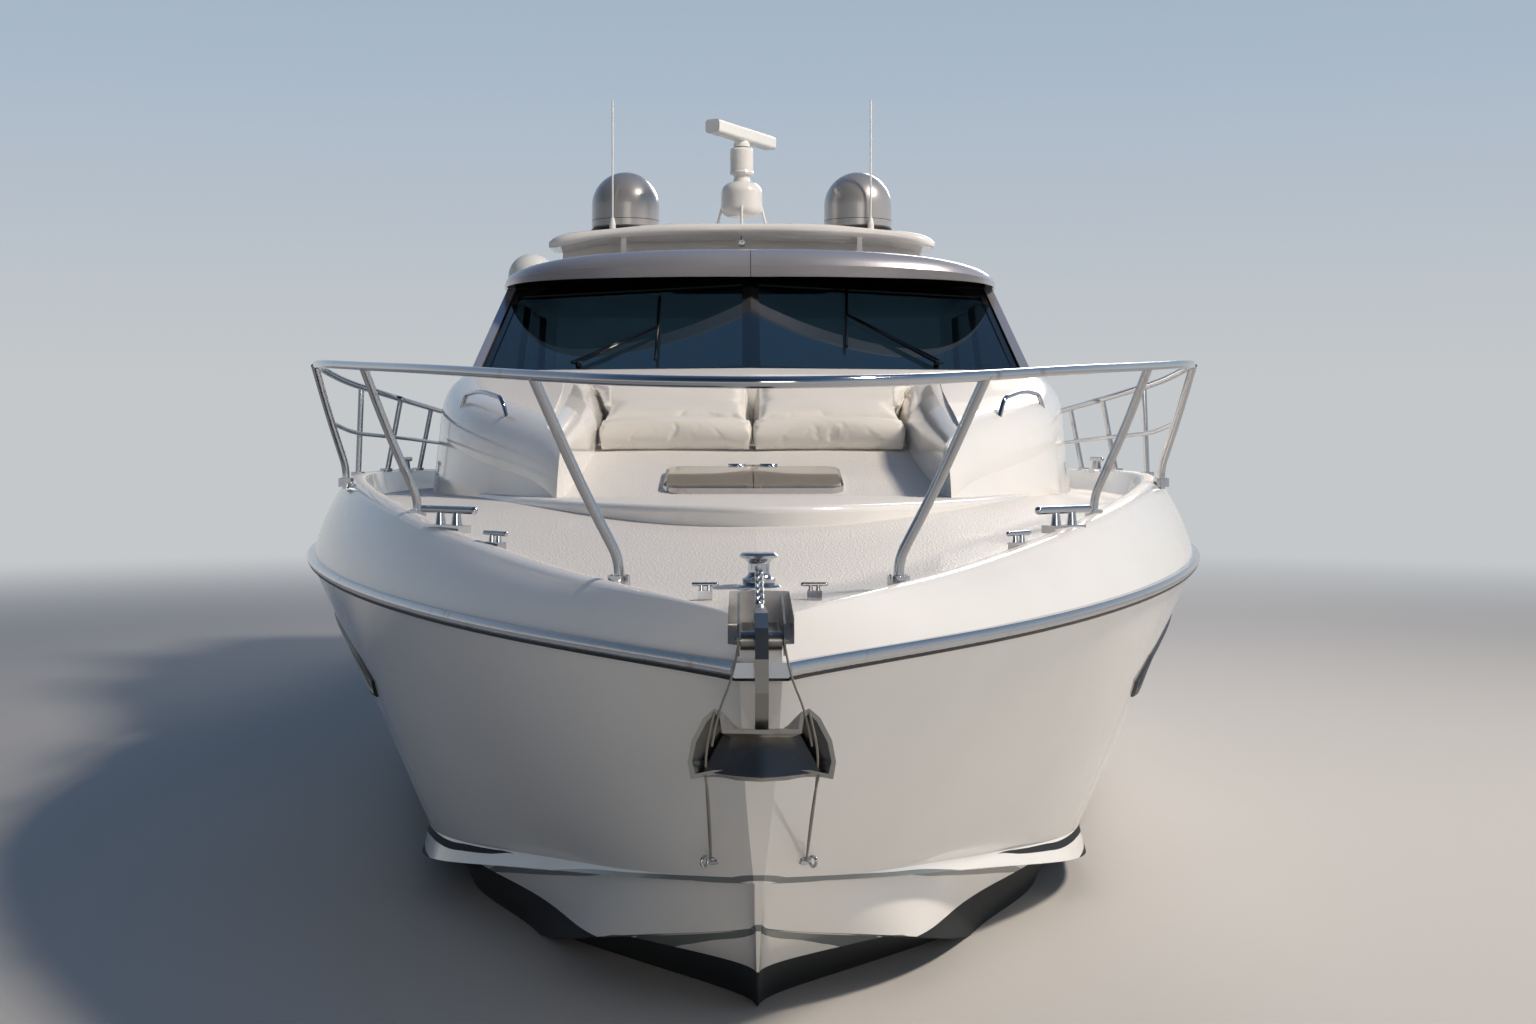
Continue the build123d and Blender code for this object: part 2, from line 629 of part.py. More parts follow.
def screen_outline():
    """Corners of the port pane's light in its plane: foot, foot corner, head corner, head."""
    plane = screen_plane()
    foot, head = (plane.to_local_coords(Vector(x, aft(station), z)) for x, station, z in
                  (SCREEN_FOOT, SCREEN_HEAD))
    lean = side_frame_plane()
    # along the head, outboard until the inner face of the side frame
    inside = -SIDE_FRAME_THICK
    near = lean.to_local_coords(plane.from_local_coords((head.X, head.Y, 0))).Z - inside
    far = lean.to_local_coords(plane.from_local_coords((head.X + 1000, head.Y, 0))).Z - inside
    head_corner = head.X + 1000 * near / (near - far)
    base_near = lean.to_local_coords(plane.from_local_coords((0, 0, 0))).Z - inside
    base_far = lean.to_local_coords(plane.from_local_coords((1000, 0, 0))).Z - inside
    foot_corner = 1000 * base_near / (base_near - base_far)
    return [(foot.X, 0), (foot_corner, 0), (head_corner, head.Y), (head.X, head.Y)]


def screen_plate(outline, depth, thick):
    """Port plate of an outline in the windscreen's plane, a depth below its outer face."""
    plane = screen_plane()
    wire = Wire.make_polygon([plane.from_local_coords((u, v, -depth)) for u, v in outline], close=True)
    return Solid.extrude(Face(wire), plane.z_dir * -thick)


def inset(outline, margin):
    """Outline moved inwards by a margin."""
    shape = Wire.make_polygon([Vector(u, v, 0) for u, v in outline], close=True)
    smaller = shape.offset_2d(-margin, kind=Kind.INTERSECTION)
    ordered = [(vertex.X, vertex.Y) for vertex in smaller.order_edges().vertices()]
    middle = (sum(u for u, v in ordered) / len(ordered), sum(v for u, v in ordered) / len(ordered))
    return sorted(ordered, key=lambda point: atan2(point[1] - middle[1], point[0] - middle[0]))


def screen_frame(stays_off):
    """Windscreen frame with its middle mullion, between coachroof, side frames and hardtop."""
    foot, foot_corner, head_corner, head = screen_outline()
    outer = [(foot[0] - 300, -90), (foot_corner[0] + 90, -90), (head_corner[0] + 90, head[1] + 110),
             (head[0] - 300, head[1] + 110)]
    port = screen_plate(outer, 0, SCREEN_THICK) & block((0, 2200), (5000, 9500), (2000, 3300))
    light = screen_plate(inset(screen_outline(), SCREEN_RIM), -5, SCREEN_THICK + 10)
    frame = port - light
    whole = frame + mirrored(frame)
    for shape in stays_off:
        whole = whole - shape
    return biggest(whole)


def screen_glass():
    """Port windscreen pane, let into its frame."""
    return screen_plate(inset(screen_outline(), SCREEN_RIM), PANE_DEPTH, GLASS)


def wing_section(x, top, chord, thick):
    """Closed upright section of the radar wing, rounded before and behind."""
    front, back = aft(WING_STATION - chord / 2), aft(WING_STATION + chord / 2)
    nose = thick / 2
    return Wire([
        line((x, front + nose, top - thick), (x, back - nose, top - thick)),
        arc((x, back - nose, top - thick), (x, back, top - nose), (x, back - nose, top)),
        line((x, back - nose, top), (x, front + nose, top)),
        arc((x, front + nose, top), (x, front, top - nose), (x, front + nose, top - thick)),
    ])


def radar_wing(roof):
    """Arched wing on a raked fairing and two struts over the hardtop."""
    rows = [(-x, *rest) for x, *rest in reversed(WING[1:])] + WING
    wing = Solid.make_loft([wing_section(*row) for row in rows])
    for x, chord, shift in WING_STRUTS:
        leg = Solid.make_loft([
            Wire.make_rect(STRUT_WIDTH, length, Plane(Vector(x, aft(WING_STATION + shift), height)))
            for length, height in ((chord, HARDTOP_UNDERSIDE + 60), (0.9 * chord, along(WING, abs(x)) - 30))
        ], ruled=True)
        wing = wing + (leg - roof)
    return biggest(wing + (wing_fairing() - roof))


def wing_fairing():
    """Wall from the roof to the underside of the wing, its top arched like the wing."""
    half, foot, head = FAIRING
    sections = []
    for x in (-half, -0.85 * half, -0.5 * half, 0, 0.5 * half, 0.85 * half, half):
        top = along(WING, abs(x)) - 40
        sections.append(Wire.make_polygon([(x, aft(station), height) for station, height in (
            (foot[0], HARDTOP_UNDERSIDE + 60), (foot[1], HARDTOP_UNDERSIDE + 60), (head[1], top), (head[0], top))],
            close=True))
    return Solid.make_loft(sections, ruled=True)


def turned(outline, place):
    """Solid of revolution about an upright axis from (radius, height) points and (radius, height, bulge) arcs."""
    edges = []
    points = [Vector(point[0], 0, point[1]) for point in outline]
    for start, end, row in zip(points, points[1:], outline[1:]):
        if len(row) == 4:
            edges.append(Edge.make_three_point_arc(start, Vector(row[2], 0, row[3]), end))
        else:
            edges.append(Edge.make_line(start, end))
    edges.append(Edge.make_line(points[-1], points[0]))
    solid = Solid.revolve(Face(Wire(edges)), 360, Axis.Z)
    return solid.moved(Location(Vector(place[0], aft(place[1]), place[2])))


def satellite_dome():
    """Port dome on a short foot: an upright wall under a half round top."""
    wall = DOME_HEIGHT - DOME_RADIUS - DOME_FOOT
    slant = DOME_RADIUS * cos(pi / 4)
    shoulder = DOME_FOOT + wall
    outline = [(0, -30), (150, -30), (150, DOME_FOOT), (DOME_RADIUS - 14, DOME_FOOT),
               (DOME_RADIUS, DOME_FOOT + 16),
               (DOME_RADIUS, shoulder), (0, DOME_HEIGHT, slant, shoulder + slant)]
    return turned(outline, (DOME_X, DOME_STATION, along(WING, DOME_X)))


def small_dome():
    """Small white aerial dome at the starboard edge of the hardtop."""
    x, station, floor, radius, wall = SMALL_DOME
    slant = radius * cos(pi / 4)
    outline = [(0, -40), (radius - 25, -40), (radius - 25, 10), (radius, 16), (radius, wall),
               (0, wall + radius, slant, wall + slant)]
    return turned(outline, (x, station, floor))


def whip(roof_wing):
    """Port whip aerial on its foot."""
    foot = along(WING, WHIP_X)
    base = turned([(0, -20), (WHIP_FOOT, -20), (WHIP_FOOT, 40), (WHIP_FOOT - 10, 90), (0, 90)],
                  (WHIP_X, WHIP_STATION, foot))
    mast = rod((WHIP_X, WHIP_STATION, foot + 60), (WHIP_X, WHIP_STATION, WHIP_TOP), WHIP_RADIUS)
    return base + mast - roof_wing


def radar_pedestal(roof_wing):
    """Bell on a tripod with a neck and the motor housing under the scanner."""
    top = RADAR_HUB - RADAR_FOOT - 4
    bell = turned([(0, 0), (100, 0), (159, 70, 140, 22), (157, 180), (66, 265, 128, 242), (60, 300), (60, 315),
                   (86, 322), (92, 335), (88, 348), (90, 505), (82, 520), (34, 524), (34, top), (0, top)],
                  (0, RADAR_STATION, RADAR_FOOT))
    for number in range(4):
        angle = number * pi / 2
        foot = (200 * cos(angle), RADAR_STATION + 200 * sin(angle), 3560)
        bell = bell + rod(foot, (148 * cos(angle), RADAR_STATION + 148 * sin(angle), RADAR_FOOT + 80), 10)
    return biggest(bell - roof_wing)


def radar_scanner():
    """Open array bar on its hub."""
    length, width, height = RADAR_BAR
    corner = Vector(-length / 2, aft(RADAR_STATION) - width / 2, RADAR_HUB + 38)
    bar = Solid.make_box(length, width, height, Plane(corner))
    bar = rounded(bar, edges_along(bar, Axis.X), 24)
    bar = bar.rotate(Axis((0, aft(RADAR_STATION), 0), (0, 0, 1)), RADAR_YAW)
    hub = turned([(0, 0), (62, 0), (62, 22), (48, 44), (0, 44)], (0, RADAR_STATION, RADAR_HUB - 3.7))
    return hub + bar


def crown_height(station):
    """Height of the bulwark crown."""
    return along(BULWARK, station)


def bow_rail(deck):
    """Top rail round the bow, mid rails and stanchions on round feet."""
    port = [(half, station, height) for station, half, height in RAIL]
    rail = tube([(-x, station, height) for x, station, height in reversed(port[1:])] + port, RAIL_TUBE)
    side = tube([(half, station, height) for station, half, height in MID_RAIL], MID_TUBE)
    uprights = []
    for foot, knee, head in STANCHIONS:
        bottom = crown_height(foot[1])
        uprights.append(tube([(*foot, bottom - 40), (foot[0], foot[1], bottom + 60), knee, head], RAIL_TUBE))
        uprights.append(rod((*foot, bottom - 30), (*foot, bottom + 10), STANCHION_FOOT))
    for station in SIDE_STANCHIONS + [RAIL[-1][0]]:
        x = along(RAIL, station)
        bottom = crown_height(station)
        top = max(along(RAIL, station, 2), bottom + 30)
        foot = along(SHEER, station) - BULWARK_INSET - BULWARK_CROWN / 2
        uprights.append(rod((foot, station, bottom - 40), (x, station, top), RAIL_TUBE - 2))
        uprights.append(rod((foot, station, bottom - 30), (foot, station, bottom + 10), STANCHION_FOOT))
    seated = [biggest(upright - deck) for upright in uprights]
    port_half = side.fuse(*seated)
    return biggest(rail.fuse(port_half, mirrored(port_half)))


def bow_slot():
    """Notch in the nose of the deck for the anchor and its roller."""
    return block((-SLOT_HALF, SLOT_HALF), (-100, SLOT_BACK), (SLOT_FLOOR, 1700))


def bow_roller():
    """Channel with two cheeks, a roller and its pin."""
    inner, outer = CHEEK_X, CHEEK_X + CHEEK_THICK
    floor = SLOT_FLOOR
    cheek = [(590, floor), (590, floor + 60), (420, floor + 112), (150, floor + 100), (-60, floor + 66),
             (-92, floor + 30), (-80, floor - 10), (-40, floor - 24), (-6, floor - 10), (-6, floor), (60, floor)]
    plate = block((-outer, outer), (12, 590), (floor, floor + CHEEK_THICK))
    body = plate + side_prism(cheek, inner, outer) + side_prism(cheek, -outer, -inner)
    pin = rod((-outer - 6, ROLLER_STATION, ROLLER_HEIGHT), (outer + 6, ROLLER_STATION, ROLLER_HEIGHT), 7)
    wheel = rod((3 - inner, ROLLER_STATION, ROLLER_HEIGHT), (inner - 3, ROLLER_STATION, ROLLER_HEIGHT),
                ROLLER_RADIUS)
    return body + pin + wheel


def chain_link(middle, direction, roll):
    """One stadium link of round wire."""
    radius = LINK_WIDTH / 2 - CHAIN_WIRE
    reach = LINK_PITCH / 2 + CHAIN_WIRE - radius
    across = Vector(1, 0, 0)
    normal = direction.cross(across) * cos(radians(roll)) + across * sin(radians(roll))
    plane = Plane(middle, x_dir=direction, z_dir=normal)
    path = Wire([
        Edge.make_line((-reach, -radius, 0), (reach, -radius, 0)),
        Edge.make_three_point_arc((reach, -radius, 0), (reach + radius, 0, 0), (reach, radius, 0)),
        Edge.make_line((reach, radius, 0), (-reach, radius, 0)),
        Edge.make_three_point_arc((-reach, radius, 0), (-reach - radius, 0, 0), (-reach, -radius, 0)),
    ])
    section = Plane(Vector(0, -radius, 0), z_dir=(1, 0, 0)) * Circle(CHAIN_WIRE)
    return (plane.location * sweep(section, path)).solid()


def chain_line():
    """Middle of the first link, direction and number of steps to the last link."""
    first, last = (Vector(0, aft(station), height) for station, height in CHAIN_ENDS)
    direction = (last - first).normalized()
    return first, direction, int((last - first).length / CHAIN_STEP)


def anchor_chain():
    """Interlinked links from the windlass to the swivel of the anchor."""
    first, direction, count = chain_line()
    return [chain_link(first + direction * (CHAIN_STEP * number), direction, 45 + 90 * (number % 2))
            for number in range(count + 1)]


def outline_wire(half, station):
    """Closed upright wire at a station from (x, height) points of its port half."""
    starboard = [(-x, z) for x, z in reversed(half[1:-1])]
    return Wire.make_polygon([Vector(x, aft(station), z) for x, z in half + starboard], close=True)


def anchor():
    """Plough anchor with its swivel: shank over the roller, cupped fluke with two ears in front of the stem."""
    roller_top = ROLLER_HEIGHT + ROLLER_RADIUS + RUNNING_GAP
    shank = [(330, roller_top + 4), (330, roller_top + 32), (-60, roller_top + 52), (-150, roller_top + 20),
             (-195, 1380), (-190, 1290), (-120, 1150), (-60, 1150), (-132, 1290), (-140, 1370), (-110, roller_top),
             (-60, roller_top)]
    bar = side_prism(shank, -SHANK_WIDTH / 2, SHANK_WIDTH / 2)
    fluke = Solid.make_loft([outline_wire(half, station) for station, half in FLUKE], ruled=True)
    cup = Solid.make_loft([outline_wire(half, station) for station, half in FLUKE_CUP], ruled=True)
    first, direction, count = chain_line()
    last_end = first + direction * (CHAIN_STEP * count + LINK_PITCH / 2 + 2 * CHAIN_WIRE + RUNNING_GAP)
    head = Vector(0, aft(318), roller_top + 18)
    swivel = Solid.make_cylinder(15, (last_end - head).length, Plane(head, z_dir=last_end - head))
    return fluke - cup + bar + swivel


def cleat(x, station, yaw, horn, height, bar):
    """Port cleat: horn on two legs and a foot plate."""
    sink = 25
    top = height + sink
    place = Location(Vector(x, aft(station), crown_height(station) - sink), (0, 0, -yaw))
    rail = Solid.make_cylinder(bar, horn, Plane((0, -horn / 2, top), z_dir=(0, 1, 0)))
    ends = [Solid.make_sphere(bar).moved(Location((0, y, top))) for y in (-horn / 2, horn / 2)]
    legs = [Solid.make_cone(1.6 * bar, 0.87 * bar, top, Plane((0, y, 0))) for y in (-0.16 * horn, 0.16 * horn)]
    plate = Solid.make_box(4.2 * bar, 0.63 * horn, sink + bar / 3, Plane((-2.1 * bar, -0.315 * horn, 0)))
    return place * plate.fuse(rail, *ends, *legs)


def stem_eye(hull):
    """Port eye low on the stem that the anchor is lashed to."""
    x, height = STEM_EYE
    probe = rod((x, -100, height), (x, 2000, height), 1) & hull
    face = Vector(x, probe.bounding_box().min.Y, height)
    out = Vector(0.62, -0.78, 0).normalized()
    root = face - out * 20
    foot = Solid.make_cylinder(20, 25, Plane(root, z_dir=out))
    neck = Solid.make_cylinder(7, 48, Plane(root, z_dir=out))
    ring = Solid.make_torus(16, 5, Plane(face + out * 42, z_dir=(0.78, 0.62, 0)))
    return biggest(foot.fuse(neck, ring) - hull)


def hinge(place, axis, leaf, length, pin):
    """Fixed knuckles with their pin, and the moving knuckle between them."""
    plane = Plane(place, x_dir=leaf, z_dir=axis)
    barrel = 2.0 * pin
    slimmer = 1.8 * pin
    third = length / 3
    fixed = Solid.make_cylinder(pin, length, plane.offset(-length / 2))
    for start in (-length / 2, length / 2 - third):
        fixed = fixed + Solid.make_cylinder(barrel, third, plane.offset(start))
    middle = third - 2 * RUNNING_GAP
    moving = Solid.make_cylinder(slimmer, middle, plane.offset(-middle / 2))
    moving = moving - Solid.make_cylinder(pin + RUNNING_GAP, length, plane.offset(-length / 2))
    return fixed, moving


def hatch_rim():
    """Chromed frame of the foredeck hatch."""
    plane = hatch_plane()
    outer = rounded_slab(plane, HATCH_WIDTH, HATCH_LENGTH, HATCH_CORNER, 0, HATCH_RISE)
    inner = rounded_slab(plane, HATCH_WIDTH - 2 * HATCH_RIM, HATCH_LENGTH - 2 * HATCH_RIM, HATCH_CORNER - HATCH_RIM,
                         -1, HATCH_RISE + 1)
    return outer - inner


def hatch_hinge():
    """Fixed and moving knuckles along the aft edge of the foredeck hatch."""
    plane = hatch_plane()
    place = plane.from_local_coords((0, HATCH_LENGTH / 2 - 16, HATCH_RISE + 8.7))
    return hinge(place, Vector(1, 0, 0), plane.y_dir, HATCH_HINGE, HATCH_PIN)


def hatch_lid():
    """Tinted lid on the hatch frame, held by the moving knuckle."""
    plane = hatch_plane()
    low = HATCH_RISE + RUNNING_GAP
    gap = 34.0
    slab = rounded_slab(plane, HATCH_WIDTH - 24, HATCH_LENGTH - 2 * gap, HATCH_CORNER - gap, low, low + HATCH_LID)
    third = HATCH_HINGE / 3 - 4
    neck = rounded_slab(plane, third, HATCH_LENGTH - 36, 8, low + 1, low + HATCH_LID - 1)
    fixed, moving = hatch_hinge()
    start = fixed.center() - Vector(200, 0, 0)
    clear = Solid.make_cylinder(HATCH_PIN + RUNNING_GAP, 400, Plane(start, z_dir=(1, 0, 0)))
    return slab + neck - clear + moving


def on_recess_floor(*stations):
    """Points a hair over the floor of the sunpad recess."""
    points = []
    for station in stations:
        low = max(row for row in RECESS[:-1] if row[0] <= station)
        high = RECESS[RECESS.index(low) + 1]
        share = (station - low[0]) / (high[0] - low[0])
        points.append((station, low[1] + share * (high[1] - low[1]) + RUNNING_GAP))
    return points


def bow_sunpad():
    """Port half of the sunpad: a front roll, a seat and a sloping head."""
    seam = 6.0
    roll = [(4960, 2070), (4900, 2085), (4790, 2060), (4745, 2000)] + on_recess_floor(4765, 4850, 4960)
    pad = [(4968, 2080), (5250, 2180), (5540, 2310), (5590, 2290), (5545, 2060)] + on_recess_floor(5500, 4968)
    pieces = [side_prism(roll, seam, SUNPAD_HALF), side_prism(pad, seam, SUNPAD_HALF)]
    wing = side_prism([(5180, 2165), (5540, 2312), (5585, 2290), (5550, 2225), (5250, 2100)], SUNPAD_HALF, 930)
    return [pieces[0], pieces[1] + wing]


def swim_platform():
    """Bathing platform with rounded corners on two knees."""
    deck_slab = plan_prism([(-PLATFORM_HALF, TRANSOM), (PLATFORM_HALF, TRANSOM), (PLATFORM_HALF, PLATFORM_BACK),
                            (-PLATFORM_HALF, PLATFORM_BACK)], PLATFORM_TOP - PLATFORM_THICK, PLATFORM_TOP)
    corners = [edge for edge in edges_along(deck_slab, Axis.Z) if edge.center().Y > aft(TRANSOM) + 10]
    slab = rounded(deck_slab, corners, PLATFORM_CORNER)
    bottom = PLATFORM_TOP - PLATFORM_THICK
    knee = side_prism([(TRANSOM, bottom), (PLATFORM_BACK - 300, bottom), (TRANSOM + 200, -20), (TRANSOM, -20)],
                      1180, 1240)
    return slab + knee + mirrored(knee)


def gate_cuts():
    """Passage through the stern coaming, with one step down to the platform."""
    return [block(GATE, (WELL_BACK - 1, TRANSOM + 1), (SOLE_TOP, 2000)),
            block(GATE, (TRANSOM - 330, TRANSOM + 1), (SOLE_TOP - 280, SOLE_TOP))]


def gate_hinge():
    """Upright hinge on the outboard jamb of the passage."""
    place = Vector(GATE[1] - 14, aft(TRANSOM) + 16, (SOLE_TOP + GATE_TOP) / 2)
    return hinge(place, Vector(0, 0, 1), Vector(1, 0, 0), 330, 6)


def stern_gate():
    """Gate panel on the moving knuckle."""
    low, high = SOLE_TOP + 12, GATE_TOP
    panel = block((GATE[0] + SWING_GAP, GATE[1] - SWING_GAP), (TRANSOM - GATE_THICK, TRANSOM - 4), (low, high))
    panel = rounded(panel, edges_along(panel, Axis.Y), 30)
    moving = gate_hinge()[1]
    middle = (SOLE_TOP + GATE_TOP) / 2
    leaf = block((GATE[1] - 60, GATE[1] - 20), (TRANSOM - 6, TRANSOM + 10), (middle - 50, middle + 50))
    bore = Solid.make_cylinder(6 + RUNNING_GAP, 600, Plane((GATE[1] - 14, aft(TRANSOM) + 16, low)))
    return panel + (leaf - bore) + moving


def stern_fittings():
    """Fixed half of the gate hinge on its plates, and the ensign staff socket."""
    fixed = gate_hinge()[0]
    x, y = GATE[1], aft(TRANSOM)
    middle = (SOLE_TOP + GATE_TOP) / 2
    plates = [
        Solid.make_box(56, 8, 108, Plane((x - 14, y, middle + shift))) for shift in (-165, 57)
    ]
    hinge_side = fixed.fuse(*plates)
    foot = along(BULWARK, SOCKET_STATION) - along(BULWARK, SOCKET_STATION, 2) + DECK_CAMBER - 12
    place = Plane((0, aft(SOCKET_STATION), foot))
    socket = Solid.make_cylinder(34, 90, place)
    socket = socket - Solid.make_cylinder(SOCKET_BORE / 2, 78, place.offset(13))
    return [hinge_side, socket]


def shaft_point(station):
    """Point of the port shaft line at a station."""
    return Vector(SHAFT_X, aft(station), SHAFT_START[1] - SHAFT_FALL * (station - SHAFT_START[0]))


def shaft_plane(station):
    """Plane across the port shaft, its Z aft along the shaft."""
    return Plane(shaft_point(station), x_dir=(1, 0, 0), z_dir=(0, 1, -SHAFT_FALL))


def shaft_brackets(hull):
    """Port stern tube and V bracket with its bearing."""
    tube_plane = shaft_plane(SHAFT_START[0] - 250)
    stern_tube = Solid.make_cylinder(STERN_TUBE_RADIUS, 640, tube_plane)
    stern_tube = stern_tube - Solid.make_cylinder(SHAFT_RADIUS + 1, 640, tube_plane)
    shell = shaft_plane(PROPELLER_STATION - 290)
    barrel = Solid.make_cylinder(BEARING_RADIUS, 150, shell)
    hub = shaft_point(PROPELLER_STATION - 220)
    for side in (-1, 1):
        top = Vector(hub.X + side * 230, hub.Y - 60, -380)
        foot = Plane(hub, x_dir=(0, 1, 0), z_dir=top - hub)
        corner = foot.from_local_coords((-STRUT[0] / 2, -STRUT[1] / 2, 0))
        foot = Plane(corner, x_dir=(0, 1, 0), z_dir=top - hub)
        barrel = barrel + Solid.make_box(*STRUT, (top - hub).length, foot)
    barrel = barrel - Solid.make_cylinder(SHAFT_RADIUS + 1, 400, shaft_plane(PROPELLER_STATION - 400))
    return [biggest(stern_tube - hull), biggest(barrel - hull)]


def blade_section(radius, chord, thick, pitch):
    """Lens across a blade at a radius from the shaft, turned to its pitch."""
    angle = atan2(pitch, 2 * pi * radius)
    plane = Plane((radius, 0, 0), x_dir=(0, cos(angle), sin(angle)), z_dir=(1, 0, 0))
    half = chord / 2
    low, high = plane.from_local_coords((-half, 0, 0)), plane.from_local_coords((half, 0, 0))
    face = plane.from_local_coords((0, thick / 2, 0))
    back = plane.from_local_coords((0, -thick / 2, 0))
    return Wire([Edge.make_three_point_arc(low, face, high), Edge.make_three_point_arc(high, back, low)])


def propeller():
    """Port shaft, hub, cone and four pitched blades."""
    pitch = 1.15 * 2 * PROPELLER_RADIUS
    blade = Solid.make_loft([blade_section(radius, chord, thick, pitch) for radius, chord, thick in
                             ((40, 130, 26), (120, 235, 18), (200, 270, 12), (PROPELLER_RADIUS, 120, 7))])
    screw = Solid.make_cylinder(58, 150, Plane((0, 0, -75)))
    screw = screw + Solid.make_cone(52, 20, 90, Plane((0, 0, 75)))
    for number in range(BLADES):
        screw = screw + blade.rotate(Axis.Z, 360 / BLADES * number)
    plane = shaft_plane(PROPELLER_STATION)
    start = SHAFT_START[0] + 120
    length = (shaft_point(PROPELLER_STATION) - shaft_point(start)).length
    shaft = Solid.make_cylinder(SHAFT_RADIUS, length, shaft_plane(start))
    return (plane.location * screw) + shaft


def rudder():
    """Port rudder: foil blade under its stock."""
    sections = []
    for height, scale in ((RUDDER_TOP, 1.0), (RUDDER_TOP - RUDDER_DEEP, 0.78)):
        chord = RUDDER_CHORD * scale
        front = aft(RUDDER_STATION) - 0.28 * chord
        back = front + chord
        widest = front + 0.3 * chord
        half = 0.07 * chord
        sections.append(Wire([
            Edge.make_three_point_arc((SHAFT_X - 3, back, height), (SHAFT_X - half, widest, height),
                                      (SHAFT_X, front, height)),
            Edge.make_three_point_arc((SHAFT_X, front, height), (SHAFT_X + half, widest, height),
                                      (SHAFT_X + 3, back, height)),
            Edge.make_line((SHAFT_X + 3, back, height), (SHAFT_X - 3, back, height)),
        ]))
    blade = Solid.make_loft(sections, ruled=True)
    return blade + Solid.make_cylinder(STOCK_RADIUS, 250, Plane((SHAFT_X, aft(RUDDER_STATION), RUDDER_TOP - 60)))


def rudder_bore():
    """Hole in the hull for the port rudder stock."""
    depth = 1.0
    return Solid.make_cylinder(STOCK_RADIUS + depth, 500, Plane((SHAFT_X, aft(RUDDER_STATION), RUDDER_TOP - 60)))


def trim_tab():
    """Port trim tab at the foot of the transom."""
    side = [(TRANSOM, -300), (TRANSOM + 330, -322), (TRANSOM + 330, -334), (TRANSOM, -312)]
    plate = side_prism(side, 1080, 1640)
    ram = rod((1360, TRANSOM + 14, -100), (1360, TRANSOM + 210, -306), 16)
    pad = block((1320, 1400), (TRANSOM, TRANSOM + 16), (-150, -60))
    return plate + ram + pad


def engine():
    """Port engine as a plain block."""
    width, length, height = ENGINE
    return block((ENGINE_X - width / 2, ENGINE_X + width / 2), (ENGINE_STATION, ENGINE_STATION + length),
                 (ENGINE_FOOT, ENGINE_FOOT + height))


def engine_bay():
    """Space around the port engine, open to the well above it."""
    width, length = ENGINE[:2]
    side = ENGINE_BAY_GAP
    return block((ENGINE_X - width / 2, ENGINE_X + width / 2),
                 (ENGINE_STATION - side, ENGINE_STATION + length + side), (ENGINE_FOOT, SOLE_TOP))


def hull_window(hull, outline):
    """Port pane that follows the topside, and the pocket that it lies in."""
    prism = side_prism(outline, 500, 2600)
    skin = prism & hull
    set_in, under = 3.0, 14.0
    pocket = skin - hull.moved(Location((-under, 0, 0)))
    pane = (prism & hull.moved(Location((-set_in, 0, 0)))) - hull.moved(Location((-under, 0, 0)))
    return biggest(pane), pocket


def helm_console():
    """Starboard console with a sloping face."""
    body = side_prism(CONSOLE_SIDE, *CONSOLE)
    hub = helm_plane()
    return body + Solid.make_cylinder(42, 120, hub.offset(-120))


def helm_plane():
    """Plane of the steering wheel, its Z towards the helmsman."""
    x, station, height = WHEEL
    tilt = radians(WHEEL_TILT)
    return Plane(Vector(x, aft(station), height), x_dir=(1, 0, 0), z_dir=(0, cos(tilt), sin(tilt)))


def steering_wheel():
    """Rim, hub and three spokes."""
    plane = helm_plane().offset(RUNNING_GAP)
    wheel = Solid.make_torus(WHEEL_RADIUS, 14, plane.offset(34)) + Solid.make_cylinder(46, 26, plane)
    for angle in (90, 210, 330):
        spoke = Solid.make_box(WHEEL_RADIUS, 26, 9, Plane((0, -13, 0))).rotate(Axis.Z, angle)
        wheel = wheel + plane.offset(14).location * spoke
    return wheel


def helm_seat():
    """Two-place helm seat: box, seat and back."""
    x0, x1 = HELM_SEAT
    back = HELM_SEAT_STATION
    outline = [(back + 60, SOLE_TOP), (back + 520, SOLE_TOP), (back + 560, 1560), (back + 600, 2090),
               (back + 510, 2100), (back + 450, 1620), (back + 20, 1600), (back, 1500), (back + 60, 1480)]
    return side_prism(outline, x0, x1)


def saloon():
    """Port settee with its back, the galley unit to starboard, and the table on its leg."""
    settee = block((900, WELL_HALF), (7750, 10200), (SOLE_TOP, SETTEE_BASE))
    leg = rod((560, 8950, SOLE_TOP), (560, 8950, TABLE_TOP - 30), 48)
    top = block((250, 860), (8250, 9650), (TABLE_TOP - 32, TABLE_TOP))
    top = rounded(top, edges_along(top, Axis.Z), 90)
    galley = block((-WELL_HALF, -1020), (9350, 10900), (SOLE_TOP, 1900))
    galley = rounded(galley, edges_along(galley, Axis.Z).sort_by(Axis.X)[-2:], 60)
    return [settee, leg + top, galley]


def settee_cushions():
    """Seat and back cushions of the settee."""
    base = SETTEE_BASE + RUNNING_GAP
    seat = block((905, 1440), (7760, 10190), (base, base + CUSHION))
    back = block((1447, WELL_HALF - RUNNING_GAP), (7760, 10190), (base, base + 480))
    return [rounded(seat, seat.edges(), 25), rounded(back, back.edges(), 25)]


def locker():
    """Open locker across the stern end of the well."""
    x0, x1 = LOCKER
    front, back = LOCKER_STATIONS
    wall, top = LOCKER_WALL, LOCKER_TOP
    shell = block((x0, x1), (front, back), (SOLE_TOP, top))
    shell = shell - block((x0 + wall, x1 - wall), (front + wall, back - wall), (SOLE_TOP + wall, top + 1))
    fixed = locker_hinge()[0]
    middle = (x0 + x1) / 2
    plates = [block((middle + start, middle + start + 290), (front - 8, front), (top - 75, top - 3))
              for start in (-448, 158)]
    return shell.fuse(fixed, *plates)


